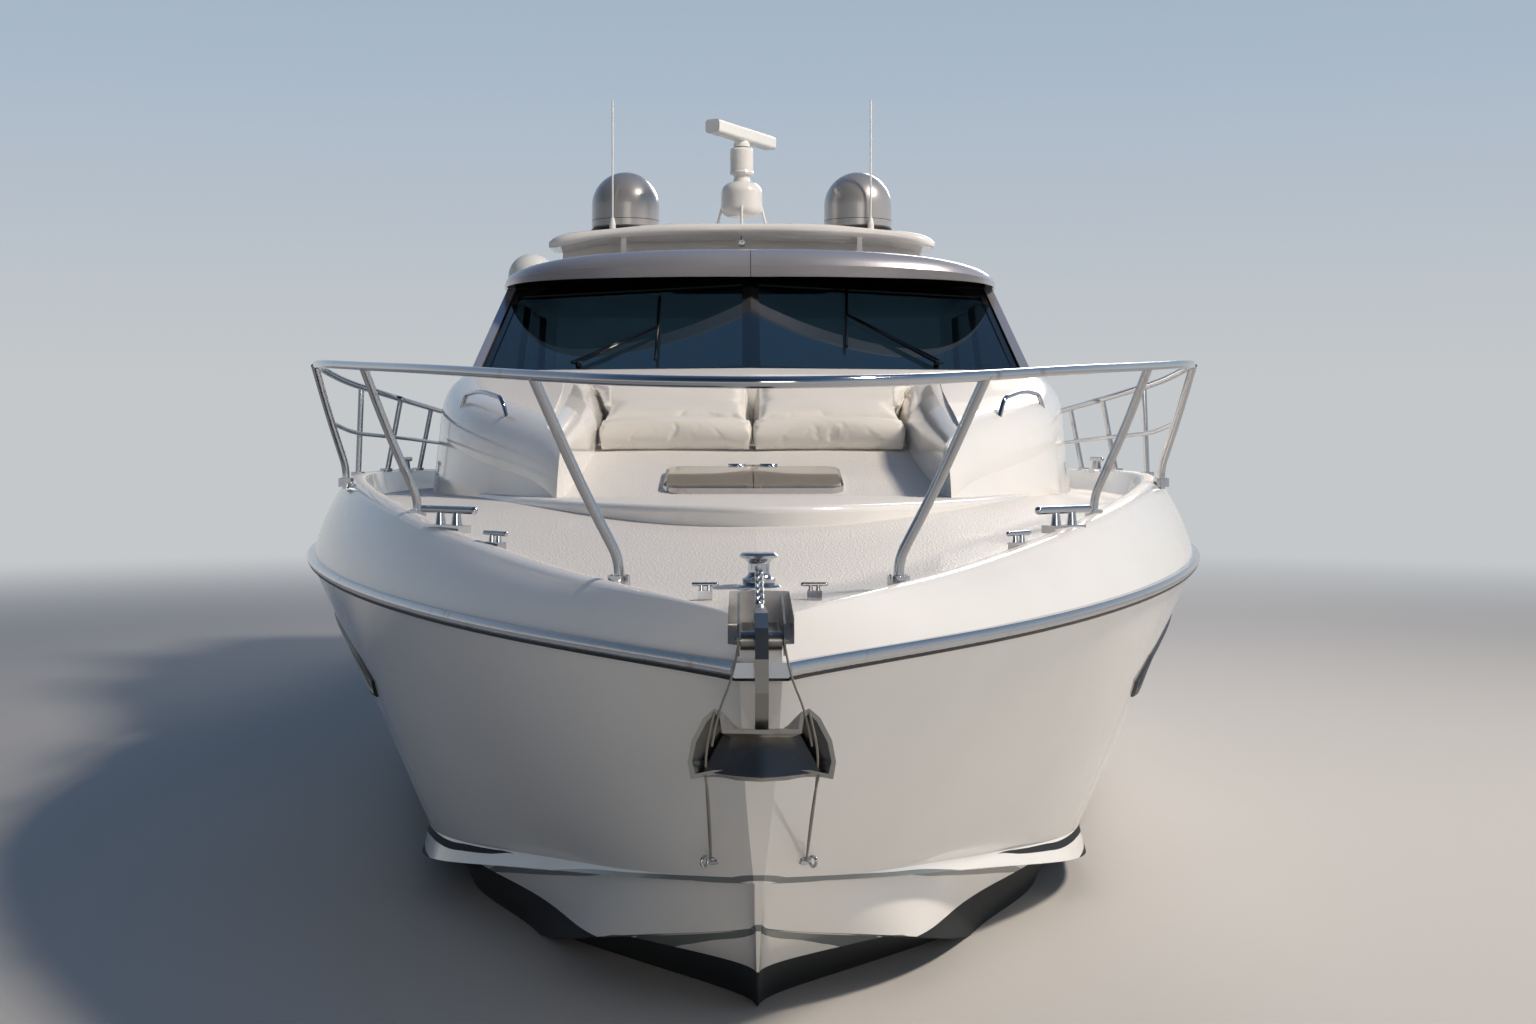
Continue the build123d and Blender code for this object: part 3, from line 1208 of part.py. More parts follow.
def locker_hinge():
    """Hinge along the front top edge of the locker."""
    place = Vector((LOCKER[0] + LOCKER[1]) / 2, aft(LOCKER_STATIONS[0]) - 11, LOCKER_TOP - 5)
    return hinge(place, Vector(1, 0, 0), Vector(0, 1, 0), LOCKER_HINGE, 5)


def locker_lid():
    """Lid on the locker with its moving knuckle."""
    x0, x1 = LOCKER
    front, back = LOCKER_STATIONS
    low = LOCKER_TOP + RUNNING_GAP
    slab = block((x0 - 10, x1 + 10), (front + 2, back + 20), (low, low + LOCKER_LID))
    moving = locker_hinge()[1]
    third = LOCKER_HINGE / 3 - 4
    middle = (x0 + x1) / 2
    leaf = block((middle - third / 2, middle + third / 2), (front - 15, front + 40), (low, low + 12))
    return slab + leaf + moving


def aft_sunpad():
    """Cushion on the locker lid."""
    x0, x1 = LOCKER
    front, back = LOCKER_STATIONS
    low = LOCKER_TOP + LOCKER_LID + 2 * RUNNING_GAP
    pad = block((x0, x1), (front + 25, back + 10), (low, low + CUSHION))
    return rounded(pad, pad.edges(), 30)


def companionway_door():
    """Sliding door on the aft side of the doorway, slid open to port."""
    x0, x1 = (x + DOOR_TRAVEL for x in DOORWAY)
    low, high = SOLE_TOP + 24, DOORWAY_HEAD + DOOR_LAP
    front = WELL_FRONT + 6
    return block((x0 - DOOR_LAP, x1 + DOOR_LAP), (front, front + DOOR_THICK), (low, high))


def door_tracks():
    """Channels above and below the sliding door."""
    x0, x1 = DOORWAY
    reach = (x0 - DOOR_LAP - 20, x1 + DOOR_TRAVEL + DOOR_LAP + 20)
    front, back = WELL_FRONT, WELL_FRONT + DOOR_THICK + 24
    slot = (WELL_FRONT + 5, WELL_FRONT + DOOR_THICK + 7)
    low = SOLE_TOP + 24 - RUNNING_GAP
    high = DOORWAY_HEAD + DOOR_LAP + RUNNING_GAP
    bottom = block(reach, (front, back), (SOLE_TOP, low + 14)) - block((-2000, 2000), slot, (low, low + 20))
    top = block(reach, (front, back), (high - 14, high + 16)) - block((-2000, 2000), slot, (high - 20, high))
    return [bottom, top]


def sunroof_panel():
    """Sliding roof panel over its opening."""
    half, front, back = SUNROOF
    low = sunroof_floor()
    panel = block((-half - SUNROOF_LAP, half + SUNROOF_LAP), (front - SUNROOF_LAP, back + SUNROOF_LAP),
                  (low, low + SUNROOF_THICK))
    return rounded(panel, edges_along(panel, Axis.Z), 40)


def sunroof_floor():
    """Height of the underside of the sliding panel, clear of the crown of the roof."""
    return max(row[3] for row in HARDTOP) + SUNROOF_RAIL


def sunroof_rails(roof):
    """Two rails on the roof that the panel slides on."""
    half, front, back = SUNROOF
    rail = block((half + 12, half + 44), (front - SUNROOF_LAP, back + SUNROOF_LAP + SUNROOF_TRAVEL),
                 (HARDTOP_UNDERSIDE + 60, sunroof_floor() - RUNNING_GAP))
    seated = biggest(rail - roof)
    return both_sides(seated)


def wiper(pivot, blade_foot, blade_head):
    """Port wiper on the pane: spindle, two arms and the blade, all in the pane's plane."""
    plane = screen_plane()

    def at(point, lift):
        return plane.from_local_coords((point[0], point[1], lift))

    def bar(a, b, lift, radius):
        start, end = at(a, lift), at(b, lift)
        return Solid.make_cylinder(radius, (end - start).length, Plane(start, z_dir=end - start))

    seat = plane.shift_origin(at(pivot, 0)).offset(RUNNING_GAP - PANE_DEPTH)
    spindle = Solid.make_cylinder(16, 36 + PANE_DEPTH, seat)
    second = (pivot[0] + 45, pivot[1] + 8)
    middle = ((blade_foot[0] + blade_head[0]) / 2, (blade_foot[1] + blade_head[1]) / 2)
    parts = [bar(pivot, middle, 27, 7), bar(pivot, second, 27, 8), bar(second, middle, 27, 6),
             bar(blade_foot, blade_head, 20, 8)]
    return spindle.fuse(*parts)


def well_cut():
    """Cockpit well above the seat of its sole."""
    return block((-WELL_HALF, WELL_HALF), (WELL_FRONT, WELL_BACK), (SOLE_TOP - SOLE_THICK, 3000))


def rub_rail(hull, deck):
    """Half round rail over the joint of hull and deck."""
    half_height, proud, cover = 21.0, 24.0, 70.0

    def slab(grow, tall):
        wires = []
        for number, station in enumerate(DECK_STATIONS):
            half = along(SHEER, station) + grow
            z = along(SHEER, station, 2)
            y = aft(station) - (grow if number == 0 else 0)
            edge = half - (min(tall, half) / 2 if grow > 0 else 0)
            low, high = z - tall, z + tall
            edges = [line((0, y, low), (edge, y, low))]
            if grow > 0:
                edges.append(arc((edge, y, low), (half, y, z), (edge, y, high)))
            else:
                edges.append(line((edge, y, low), (edge, y, high)))
            edges.append(line((edge, y, high), (0, y, high)))
            wires.append(Wire(edges + [mirrored(piece) for piece in edges]))
        return Solid.make_loft(wires)

    ring = slab(proud, half_height) - slab(-cover, half_height + 5)
    return biggest(ring - hull - deck)


def capstan():
    """Drum of the windlass over its base."""
    floor = crown_height(CAPSTAN_STATION) - 30
    drum = [(0, 12), (50, 12), (54, 30), (34, 52, 38, 40), (34, 78), (CAPSTAN_RADIUS - 4, 96, 44, 90),
            (CAPSTAN_RADIUS, CAPSTAN_HEIGHT - 8), (CAPSTAN_RADIUS - 10, CAPSTAN_HEIGHT), (0, CAPSTAN_HEIGHT)]
    return turned(drum, (0, CAPSTAN_STATION, floor))


def capstan_base(deck):
    """Base plate of the windlass, seated on the deck."""
    floor = crown_height(CAPSTAN_STATION) - 30
    base = turned([(0, -40), (72, -40), (72, 6), (66, 12 - RUNNING_GAP), (0, 12 - RUNNING_GAP)],
                  (0, CAPSTAN_STATION, floor))
    return biggest(base - deck)


def build():
    """Every node of the boat."""
    full_hull = hull_body()
    raw_deck = biggest(deck_body() - full_hull)
    roof = hardtop_body()
    frame = on_side_frame(SIDE_FRAME, 0, SIDE_FRAME_THICK)
    lights = [on_side_frame(outline, -10, SIDE_FRAME_THICK + 20) for outline in SIDE_LIGHTS]
    coachroof = coachroof_body(raw_deck)
    sides = both_sides(cabin_side_body(raw_deck))
    coachroof = coachroof.fuse(*sides)
    frame = frame - coachroof
    frame = biggest(frame - roof)
    glazed = biggest(frame.cut(*lights))
    write("side_frames", *both_sides(glazed))
    panes = [on_side_frame(outline, 20, GLASS) for outline in SIDE_LIGHTS]
    write("side_windows", *panes, *[mirrored(pane) for pane in panes])
    write("windscreen_frame", screen_frame([coachroof, frame, mirrored(frame), roof]))
    write("windscreen_glass", *both_sides(screen_glass()))
    coachroof = coachroof.cut(hatch_cut(), companionway_cut())
    write("coachroof", biggest(coachroof))
    write("hardtop", roof.fuse(*sunroof_rails(roof)))
    write("sunroof", sunroof_panel())

    windows, pockets = zip(*[hull_window(full_hull, outline) for outline in HULL_LIGHTS])
    write("hull_windows", *windows, *[mirrored(pane) for pane in windows])
    bays = both_sides(engine_bay())
    bores = both_sides(rudder_bore())
    hull = full_hull.cut(well_cut(), *gate_cuts(), *bays, *bores, companionway_cut(), hatch_cut(),
                         *pockets, *[mirrored(pocket) for pocket in pockets])
    write("hull", biggest(hull))
    deck = raw_deck.cut(well_cut(), *gate_cuts(), companionway_cut(), hatch_cut(), bow_slot())
    write("deck", biggest(deck))
    write("rub_rail", rub_rail(full_hull, raw_deck))
    write("swim_platform", swim_platform())
    sole = block((-WELL_HALF, WELL_HALF), (WELL_FRONT, WELL_BACK), (SOLE_TOP - SOLE_THICK, SOLE_TOP))
    write("cockpit_sole", sole)

    shift = Location((GEAR_SHIFT, 0, 0))
    wing = radar_wing(roof.moved(shift.inverse()))
    write("radar_wing", wing.moved(shift), radar_pedestal(wing).moved(shift))
    write("roof_domes", *[(dome - wing).moved(shift) for dome in both_sides(satellite_dome())])
    write("aerials", *[mast.moved(shift) for mast in both_sides(whip(wing))], small_dome() - roof)
    write("radar_scanner", radar_scanner().moved(shift))

    grab = tube(GRAB_RAIL, GRAB_TUBE)
    write("deck_rails", bow_rail(raw_deck), *both_sides(biggest(grab - coachroof)))
    hinge_side, socket = stern_fittings()
    port_fittings = [biggest(cleat(*row) - raw_deck) for row in CLEATS] + [stem_eye(full_hull)]
    write("deck_fittings", *port_fittings, *[mirrored(piece) for piece in port_fittings],
          hinge_side, biggest(socket - deck))
    write("bow_roller", bow_roller())
    write("anchor", anchor())
    write("anchor_chain", *anchor_chain())
    write("windlass_base", capstan_base(deck))
    write("windlass_drum", capstan())

    write("hatch_frame", hatch_rim().fuse(hatch_hinge()[0]))
    write("hatch_lid", hatch_lid())
    pads = bow_sunpad()
    write("bow_sunpad", *[pad - coachroof for pad in pads], *[mirrored(pad - coachroof) for pad in pads])
    write("wiper_port", wiper(*WIPERS["port"]))
    write("wiper_starboard", mirrored(wiper(*WIPERS["starboard"])))

    write("helm_console", helm_console())
    write("steering_wheel", steering_wheel())
    write("helm_seat", helm_seat())
    write("saloon", *saloon())
    write("settee_cushions", *settee_cushions())
    write("companionway_door", companionway_door())
    write("door_tracks", *door_tracks())
    write("stern_locker", locker())
    write("locker_lid", locker_lid())
    write("aft_sunpad", aft_sunpad())
    write("stern_gate", stern_gate())

    brackets = shaft_brackets(full_hull)
    write("stern_gear", *brackets, *[mirrored(piece) for piece in brackets], *both_sides(trim_tab()))
    write("propeller_port", propeller())
    write("propeller_starboard", mirrored(propeller()))
    write("rudder_port", rudder())
    write("rudder_starboard", mirrored(rudder()))
    write("engines", *both_sides(engine()))


build()
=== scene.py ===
# %% [markdown]
# # A hardtop motor cruiser in Blender
# The boat comes from CAD as one model of many named pieces. This script dresses it: each finish is built
# as a procedural material, soft cushions are inflated by the cloth solver, and small fittings are
# modelled by hand. Lengths are metres, +Z is up from the waterline, the bow points to -Y and the port
# side to +X.

# %% Load the frame
from math import cos, radians, sin

import bmesh
import bpy
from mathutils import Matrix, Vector


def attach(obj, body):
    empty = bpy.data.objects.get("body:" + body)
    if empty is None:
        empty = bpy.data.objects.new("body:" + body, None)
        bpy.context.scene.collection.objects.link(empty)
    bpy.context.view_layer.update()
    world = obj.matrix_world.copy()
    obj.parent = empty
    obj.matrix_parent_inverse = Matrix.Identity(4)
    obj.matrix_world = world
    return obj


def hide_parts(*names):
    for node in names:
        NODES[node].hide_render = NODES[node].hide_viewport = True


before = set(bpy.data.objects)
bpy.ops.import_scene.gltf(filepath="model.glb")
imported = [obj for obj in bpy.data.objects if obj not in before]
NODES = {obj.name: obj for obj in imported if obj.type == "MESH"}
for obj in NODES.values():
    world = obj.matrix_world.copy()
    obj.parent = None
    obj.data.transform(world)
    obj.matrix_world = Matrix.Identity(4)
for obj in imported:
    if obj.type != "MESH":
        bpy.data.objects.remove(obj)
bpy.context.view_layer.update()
NOSE = -7.3


def aft(station):
    """Y of a distance aft of the nose of the rub rail, both in metres."""
    return NOSE + station


# %% [markdown]
# ## The camera
# The camera stands 5.1 m ahead of the bow and 1.95 m over the waterline. Upright edges stay upright in
# the picture, so the camera looks level and the picture is moved by the lens shift, as is done for
# buildings. The focal length is 1862 pixels in a picture 1536 pixels wide.

# %% Camera
PICTURE_WIDTH = 1536
FOCAL_PIXELS = 1862
HORIZON = (743, 445)
MIDDLE = (768, 512)
SENSOR = 36
EYE = (-0.05, -12.4, 1.945)
bpy.ops.object.camera_add(location=EYE, rotation=(radians(90), 0, 0))
camera = bpy.context.object
camera.data.sensor_width = SENSOR
camera.data.lens = SENSOR * FOCAL_PIXELS / PICTURE_WIDTH
camera.data.shift_x = (MIDDLE[0] - HORIZON[0]) / PICTURE_WIDTH
camera.data.shift_y = (HORIZON[1] - MIDDLE[1]) / PICTURE_WIDTH
camera.data.clip_end = 200
bpy.context.scene.camera = camera
print("lens", round(camera.data.lens, 2), "mm")

# %% [markdown]
# ## Colours and nodes
# Paint makers and screens give colours as sRGB hex values, and Blender's shaders want linear light, so
# one function turns one into the other. A second one adds a shader node with its settings and links.
# Hardly any surface of a boat has one even tone, so a third one lays a soft noise between two near
# colours.

# %% Helpers for materials
def linear(code):
    """Linear colour of an sRGB hex code, opaque."""
    values = [int(code[i:i + 2], 16) / 255 for i in (1, 3, 5)]
    return [v / 12.92 if v <= 0.04045 else ((v + 0.055) / 1.055) ** 2.4 for v in values] + [1.0]


def add(tree, kind, inputs=None, **settings):
    """A node with its settings; inputs gives a value or another node's output for each socket."""
    node = tree.nodes.new(kind)
    for name, value in settings.items():
        setattr(node, name, value)
    for socket, value in (inputs or {}).items():
        if isinstance(value, bpy.types.NodeSocket):
            tree.links.new(value, node.inputs[socket])
        else:
            node.inputs[socket].default_value = value
    return node


def new_finish(name, **values):
    """A material with its shader's own values set, its node tree, shader and object coordinates."""
    material = bpy.data.materials.new(name)
    material.use_nodes = True
    tree = material.node_tree
    shader = tree.nodes["Principled BSDF"]
    for socket, value in values.items():
        shader.inputs[socket.replace("_", " ")].default_value = value
    place = add(tree, "ShaderNodeTexCoord").outputs["Object"]
    return material, tree, shader, place


def feed(tree, shader, **outputs):
    """Links outputs to inputs of the shader."""
    for socket, output in outputs.items():
        tree.links.new(output, shader.inputs[socket.replace("_", " ")])


def drifting(tree, place, scale, detail, dark, light):
    """A soft noise, and a tone that drifts with it from a dark to a light colour."""
    noise = add(tree, "ShaderNodeTexNoise", {"Vector": place, "Scale": scale, "Detail": detail})
    tone = add(tree, "ShaderNodeMix", {"Factor": noise.outputs["Fac"], 6: linear(dark), 7: linear(light)},
               data_type="RGBA")
    return noise.outputs["Fac"], tone.outputs[2]


def dress(material, *names):
    """Gives CAD pieces a finish."""
    for name in names:
        for slot in NODES[name].material_slots:
            slot.material = material


SEAM_HALF = 0.0025


def centre_seam(tree, place, tone, code):
    """The tone, with a fine dark line on the centreline."""
    part = add(tree, "ShaderNodeSeparateXYZ", {"Vector": place})
    aside = add(tree, "ShaderNodeMath", {0: part.outputs["X"]}, operation="ABSOLUTE")
    seam = add(tree, "ShaderNodeMath", {0: aside.outputs[0], 1: SEAM_HALF}, operation="LESS_THAN")
    return add(tree, "ShaderNodeMix", {"Factor": seam.outputs[0], 6: tone, 7: linear(code)},
               data_type="RGBA").outputs[2]


# %% [markdown]
# ## White gelcoat
# Deck and cabin are moulded in polyester with a gelcoat skin: white with a trace of warmth, glossy, and
# never quite flat. A faint mottling of the colour and a long, shallow waviness give the moulded look.
# Where people walk the mould leaves small non-skid studs. They are put where the surface faces up, inside
# the panels only.

# %% Gelcoat
gelcoat, tree, shader, place = new_finish("gelcoat_moulded_white", Coat_Roughness=0.04)
# 1 where the moulding lies flat enough to be walked on
level = add(tree, "ShaderNodeSeparateXYZ", {"Vector": add(tree, "ShaderNodeNewGeometry").outputs["Normal"]})
walked = add(tree, "ShaderNodeMapRange", {"Value": level.outputs["Z"], "From Min": 0.955, "From Max": 0.975},
             interpolation_type="SMOOTHSTEP").outputs["Result"]
tint = drifting(tree, place, 1.7, 4.0, "#E9E6E2", "#F4F2EF")[1]
tread = add(tree, "ShaderNodeMix", {"Factor": walked, 6: tint, 7: linear("#DDD9D4")}, data_type="RGBA")
rough = add(tree, "ShaderNodeMapRange", {"Value": walked, "To Min": 0.15, "To Max": 0.50})
coat = add(tree, "ShaderNodeMapRange", {"Value": walked, "To Min": 0.6, "To Max": 0.05})
wave = add(tree, "ShaderNodeTexNoise", {"Vector": place, "Scale": 3.0, "Detail": 1.0})
bump = add(tree, "ShaderNodeBump", {"Height": wave.outputs["Fac"], "Distance": 0.004, "Strength": 0.25})
# the real studs are 3 mm apart; they are drawn at 9 mm, so that they show in the picture
studs = add(tree, "ShaderNodeTexVoronoi", {"Vector": place, "Scale": 110.0})
height = add(tree, "ShaderNodeMath", {0: studs.outputs["Distance"], 1: walked}, operation="MULTIPLY")
bump = add(tree, "ShaderNodeBump", {"Height": height.outputs[0], "Distance": 0.0022,
                                    "Normal": bump.outputs["Normal"]})
feed(tree, shader, Base_Color=tread.outputs[2], Roughness=rough.outputs["Result"],
     Coat_Weight=coat.outputs["Result"], Normal=bump.outputs["Normal"])
dress(gelcoat, "deck", "coachroof", "swim_platform", "stern_locker", "locker_lid", "stern_gate", "radar_wing")
print("gelcoat on", sum(1 for node in NODES.values() if node.active_material == gelcoat), "pieces")

# %% [markdown]
# ## The hull's paint
# The topsides are gelcoat too. Below the boot top the hull carries dark antifouling, a rough paint that
# hides growth. A dark blue stripe runs from amidships forward along the lip over the chine, which climbs
# towards the bow. Two grey bands under the lip and under the spray rail are painted shade and painted
# reflection of dark water. Each is drawn by height: one float curve gives the height of its middle along
# the boat, a second one half its width. A curve can't hold a negative value, so all heights are lifted in
# it and lowered after it.

# %% Bands along the topsides
topsides, tree, shader, place = new_finish("topsides_gelcoat_antifouling_painted_shade", Coat_Roughness=0.05)
BOOT_TOP = 0.167
LENGTH_SHOWN = 13.7
LIFT = 0.1
# station, height of the middle of the band, half its width
STRIPE = [(2.2, 0.341, 0.0), (2.34, 0.319, 0.008), (2.46, 0.300, 0.011), (2.6, 0.281, 0.014),
          (2.75, 0.261, 0.015), (2.9, 0.253, 0.015), (3.05, 0.248, 0.015), (3.3, 0.225, 0.017),
          (4.0, 0.170, 0.020), (6.0, 0.078, 0.022), (9.0, 0.030, 0.022), (13.7, 0.005, 0.022)]
# painted shade and reflection: grey bands under the lip and under the spray rail
SHADE_UNDER_LIP = [(0.7, 0.590, 0.008), (0.84, 0.556, 0.010), (1.05, 0.513, 0.011), (1.19, 0.488, 0.009),
             (1.35, 0.457, 0.009), (1.55, 0.421, 0.009), (1.75, 0.372, 0.012), (1.97, 0.320, 0.009),
             (2.21, 0.269, 0.010), (2.45, 0.222, 0.012), (2.62, 0.187, 0.013), (2.85, 0.138, 0.000),
             (13.7, -0.100, 0.000)]
SHADE_UNDER_RAIL = [(0.85, 0.400, 0.006), (1.0, 0.354, 0.008), (1.16, 0.298, 0.011), (1.28, 0.260, 0.011),
              (1.38, 0.226, 0.015), (1.47, 0.197, 0.018), (1.57, 0.165, 0.025), (1.75, 0.120, 0.000),
              (13.7, -0.100, 0.000)]
part = add(tree, "ShaderNodeSeparateXYZ", {"Vector": place})
share = add(tree, "ShaderNodeMapRange", {"Value": part.outputs["Y"], "From Min": aft(0),
                                         "From Max": aft(LENGTH_SHOWN)})


def band(rows):
    """1 inside a band whose middle and half width follow rows along the boat."""
    values = []
    for column in (1, 2):
        curve = add(tree, "ShaderNodeFloatCurve", {"Value": share.outputs["Result"]})
        line = curve.mapping.curves[0]
        line.points[0].location = (0, rows[0][column] + LIFT)
        line.points[1].location = (1, rows[-1][column] + LIFT)
        for row in rows[:-1]:
            line.points.new(row[0] / LENGTH_SHOWN, row[column] + LIFT)
        curve.mapping.update()
        values.append(add(tree, "ShaderNodeMath", {0: curve.outputs["Value"], 1: LIFT}, operation="SUBTRACT"))
    away = add(tree, "ShaderNodeMath", {0: part.outputs["Z"], 1: values[0].outputs[0]}, operation="SUBTRACT")
    away = add(tree, "ShaderNodeMath", {0: away.outputs[0]}, operation="ABSOLUTE")
    inside = add(tree, "ShaderNodeMath", {0: away.outputs[0], 1: values[1].outputs[0]},
                 operation="LESS_THAN")
    return inside.outputs[0]


stripe, shade_under_lip, shade_under_rail = (band(rows) for rows in (STRIPE, SHADE_UNDER_LIP, SHADE_UNDER_RAIL))
print("bands: 3, along", LENGTH_SHOWN, "m")

# %% [markdown]
# ## The hull's layers
# The layers go on one over another: white, the grey bands of painted shade and reflection, stripe,
# antifouling. Stripe and antifouling are matt and have no gloss coat, and only the antifouling is gritty.

# %% Layers of the topsides
under = add(tree, "ShaderNodeMath", {0: part.outputs["Z"], 1: BOOT_TOP}, operation="LESS_THAN").outputs[0]
paint = drifting(tree, place, 1.2, 4.0, "#E9E6E1", "#F4F2EE")[1]
bottom = drifting(tree, place, 14.0, 8.0, "#0B0F13", "#1D2327")[1]
# grey of the painted shade and reflection under the lip and the spray rail
shaded = linear("#747A79")
# each layer covers those before it where its mask is 1
layers = [(shade_under_lip, shaded), (shade_under_rail, shaded), (stripe, linear("#10161F")), (under, bottom)]
for mask, colour in layers:
    paint = add(tree, "ShaderNodeMix", {"Factor": mask, 6: paint, 7: colour}, data_type="RGBA").outputs[2]
matt = add(tree, "ShaderNodeMath", {0: under, 1: stripe}, operation="MAXIMUM").outputs[0]
rough = add(tree, "ShaderNodeMapRange", {"Value": matt, "To Min": 0.13, "To Max": 0.75})
coat = add(tree, "ShaderNodeMapRange", {"Value": matt, "To Min": 0.6, "To Max": 0.0})
wave = add(tree, "ShaderNodeTexNoise", {"Vector": place, "Scale": 2.2, "Detail": 1.0})
bump = add(tree, "ShaderNodeBump", {"Height": wave.outputs["Fac"], "Distance": 0.006, "Strength": 0.25})
grit = add(tree, "ShaderNodeTexNoise", {"Vector": place, "Scale": 220.0})
height = add(tree, "ShaderNodeMath", {0: grit.outputs["Fac"], 1: under}, operation="MULTIPLY")
bump = add(tree, "ShaderNodeBump", {"Height": height.outputs[0], "Distance": 0.001,
                                    "Normal": bump.outputs["Normal"]})
feed(tree, shader, Base_Color=paint, Roughness=rough.outputs["Result"], Coat_Weight=coat.outputs["Result"],
     Normal=bump.outputs["Normal"])
dress(topsides, "hull")
print("layers on the topsides:", len(layers), "boot top at", BOOT_TOP)

# %% [markdown]
# ## Polished stainless steel
# Rails, cleats and windlass are 316 stainless, buffed to a mirror. The eye reads it by what it reflects,
# so the roughness is very low, and a slight waviness keeps long tubes from looking drawn with a ruler.
# Weather leaves faint brown tea stains in the corners. Anchor and bow roller are of the same steel,
# dulled by use.

# %% Stainless steel
# name, tone, stained tone, least and greatest roughness
STEELS = [("stainless_steel_buffed", "#BFC1C5", "#9A8A79", 0.05, 0.16),
          ("stainless_steel_dulled", "#8F8D89", "#766C60", 0.24, 0.40)]
finishes = []
for name, clean, stained, low, high in STEELS:
    finish, tree, shader, place = new_finish(name, Metallic=1.0)
    stain = add(tree, "ShaderNodeTexNoise", {"Vector": place, "Scale": 9.0, "Detail": 6.0}).outputs["Fac"]
    amount = add(tree, "ShaderNodeMapRange", {"Value": stain, "From Min": 0.62, "From Max": 0.8})
    tone = add(tree, "ShaderNodeMix", {"Factor": amount.outputs["Result"], 6: linear(clean),
                                       7: linear(stained)}, data_type="RGBA")
    rough = add(tree, "ShaderNodeMapRange", {"Value": stain, "To Min": low, "To Max": high})
    wave = add(tree, "ShaderNodeTexNoise", {"Vector": place, "Scale": 25.0, "Detail": 1.0})
    bump = add(tree, "ShaderNodeBump", {"Height": wave.outputs["Fac"], "Distance": 0.0008, "Strength": 0.3})
    feed(tree, shader, Base_Color=tone.outputs[2], Roughness=rough.outputs["Result"],
         Normal=bump.outputs["Normal"])
    finishes.append(finish)
steel, dull_steel = finishes
dress(steel, "deck_rails", "deck_fittings", "anchor_chain", "windlass_base", "windlass_drum", "hatch_frame",
      "rub_rail")
dress(dull_steel, "anchor", "bow_roller")
print("steels:", [row[0] for row in STEELS])

# %% [markdown]
# ## Metallic paint
# Hardtop and side frames are sprayed in a two-stage metallic: aluminium flakes in a grey coat under clear
# lacquer. The flakes are a fine noise on the colour, the lacquer is the shader's coat. The domes on the
# wing are a slightly warmer batch of the same paint. Under the brow the roof is painted near black as
# shade, also for its image in the windscreen: from where the skin turns down to behind the top of the
# glass.

# %% Metallic paints
# Y where the painted shade under the brow ends
BROW_SHADE_END = 0.75
paints = {}
for name, dark, light in (("hardtop", "#A8A6AC", "#C3C1C6"), ("dome", "#A8A5A4", "#C2BFBD")):
    paints[name], tree, shader, place = new_finish(
        name + "_metallic_lacquer", Metallic=0.55, Roughness=0.32, Coat_Weight=0.8, Coat_Roughness=0.06)
    # real flakes are under 0.1 mm; they are drawn at about 1 mm
    flake = add(tree, "ShaderNodeTexVoronoi", {"Vector": place, "Scale": 900.0})
    tone = add(tree, "ShaderNodeMix", {"Factor": flake.outputs["Distance"], 6: linear(dark),
                                       7: linear(light)}, data_type="RGBA")
    # the two halves of the hardtop's brow meet in a fine joint
    tone = centre_seam(tree, place, tone.outputs[2], "#3A383B")
    normal = add(tree, "ShaderNodeNewGeometry").outputs["Normal"]
    facing = add(tree, "ShaderNodeSeparateXYZ", {"Vector": normal})
    down = add(tree, "ShaderNodeMapRange", {"Value": facing.outputs["Z"], "From Min": -0.30,
                                            "From Max": -0.45})
    along = add(tree, "ShaderNodeSeparateXYZ", {"Vector": place})
    ahead = add(tree, "ShaderNodeMath", {0: along.outputs["Y"], 1: BROW_SHADE_END}, operation="LESS_THAN")
    shade_under_brow = add(tree, "ShaderNodeMath", {0: down.outputs["Result"], 1: ahead.outputs[0]},
                operation="MULTIPLY")
    # painted shade: near black where the skin faces down under the brow
    tone = add(tree, "ShaderNodeMix", {"Factor": shade_under_brow.outputs[0], 6: tone, 7: linear("#101012")},
               data_type="RGBA")
    feed(tree, shader, Base_Color=tone.outputs[2])
dress(paints["hardtop"], "hardtop", "side_frames")
dress(paints["dome"], "roof_domes")
print("metallic paints:", list(paints))

# %% [markdown]
# ## Glass
# Tinted safety glass takes most of the light on its way through. A low transmission colour darkens what
# is behind it while the surface keeps its mirror. Hull lights are opaque and near black, painted shade for
# the dark cabin behind them, so they only reflect. The hatch on the foredeck is smoked acrylic whose beige
# tone is a painted reflection of the sunpad, with a dark line down its middle.

# %% Glass
tinted, tree, shader, place = new_finish(
    "glass_smoke_tinted", Roughness=0.02, Transmission_Weight=0.94, IOR=1.45, Specular_IOR_Level=0.22)
feed(tree, shader, Base_Color=drifting(tree, place, 2.5, 6.0, "#223440", "#2C404D")[1])
dress(tinted, "windscreen_glass", "sunroof", "companionway_door", "side_windows")
dark_glass, tree, shader, place = new_finish("glass_dark_and_painted_shade", Roughness=0.06, Specular_IOR_Level=0.12)
feed(tree, shader, Base_Color=drifting(tree, place, 4.0, 5.0, "#07090B", "#12161A")[1])
# painted shade: the hull lights are opaque near black for the dark cabin behind them
dress(dark_glass, "hull_windows")
acrylic, tree, shader, place = new_finish(
    "acrylic_smoked_painted_reflection", Roughness=0.10, Coat_Weight=0.8, Coat_Roughness=0.03)
# painted reflection: the beige of the sunpad mirrored in the lid
shade = drifting(tree, place, 5.0, 6.0, "#9A9287", "#B2AA9F")[1]
feed(tree, shader, Base_Color=centre_seam(tree, place, shade, "#1C1B1A"))
dress(acrylic, "hatch_lid")
print("glass:", tinted.name, dark_glass.name, acrylic.name)

# %% [markdown]
# ## Plastics, rubber and leather
# The screen surround is gloss black, the wipers and console are moulded with a fine leather-like grain,
# the radar and the whips are satin white glass fibre. One recipe serves them: a base tone that drifts a
# little, and a cellular bump. On gloss parts it is the soft orange peel of the spray, on the others a
# grain, drawn about twice as coarse as the real one of 1 mm so that it shows.

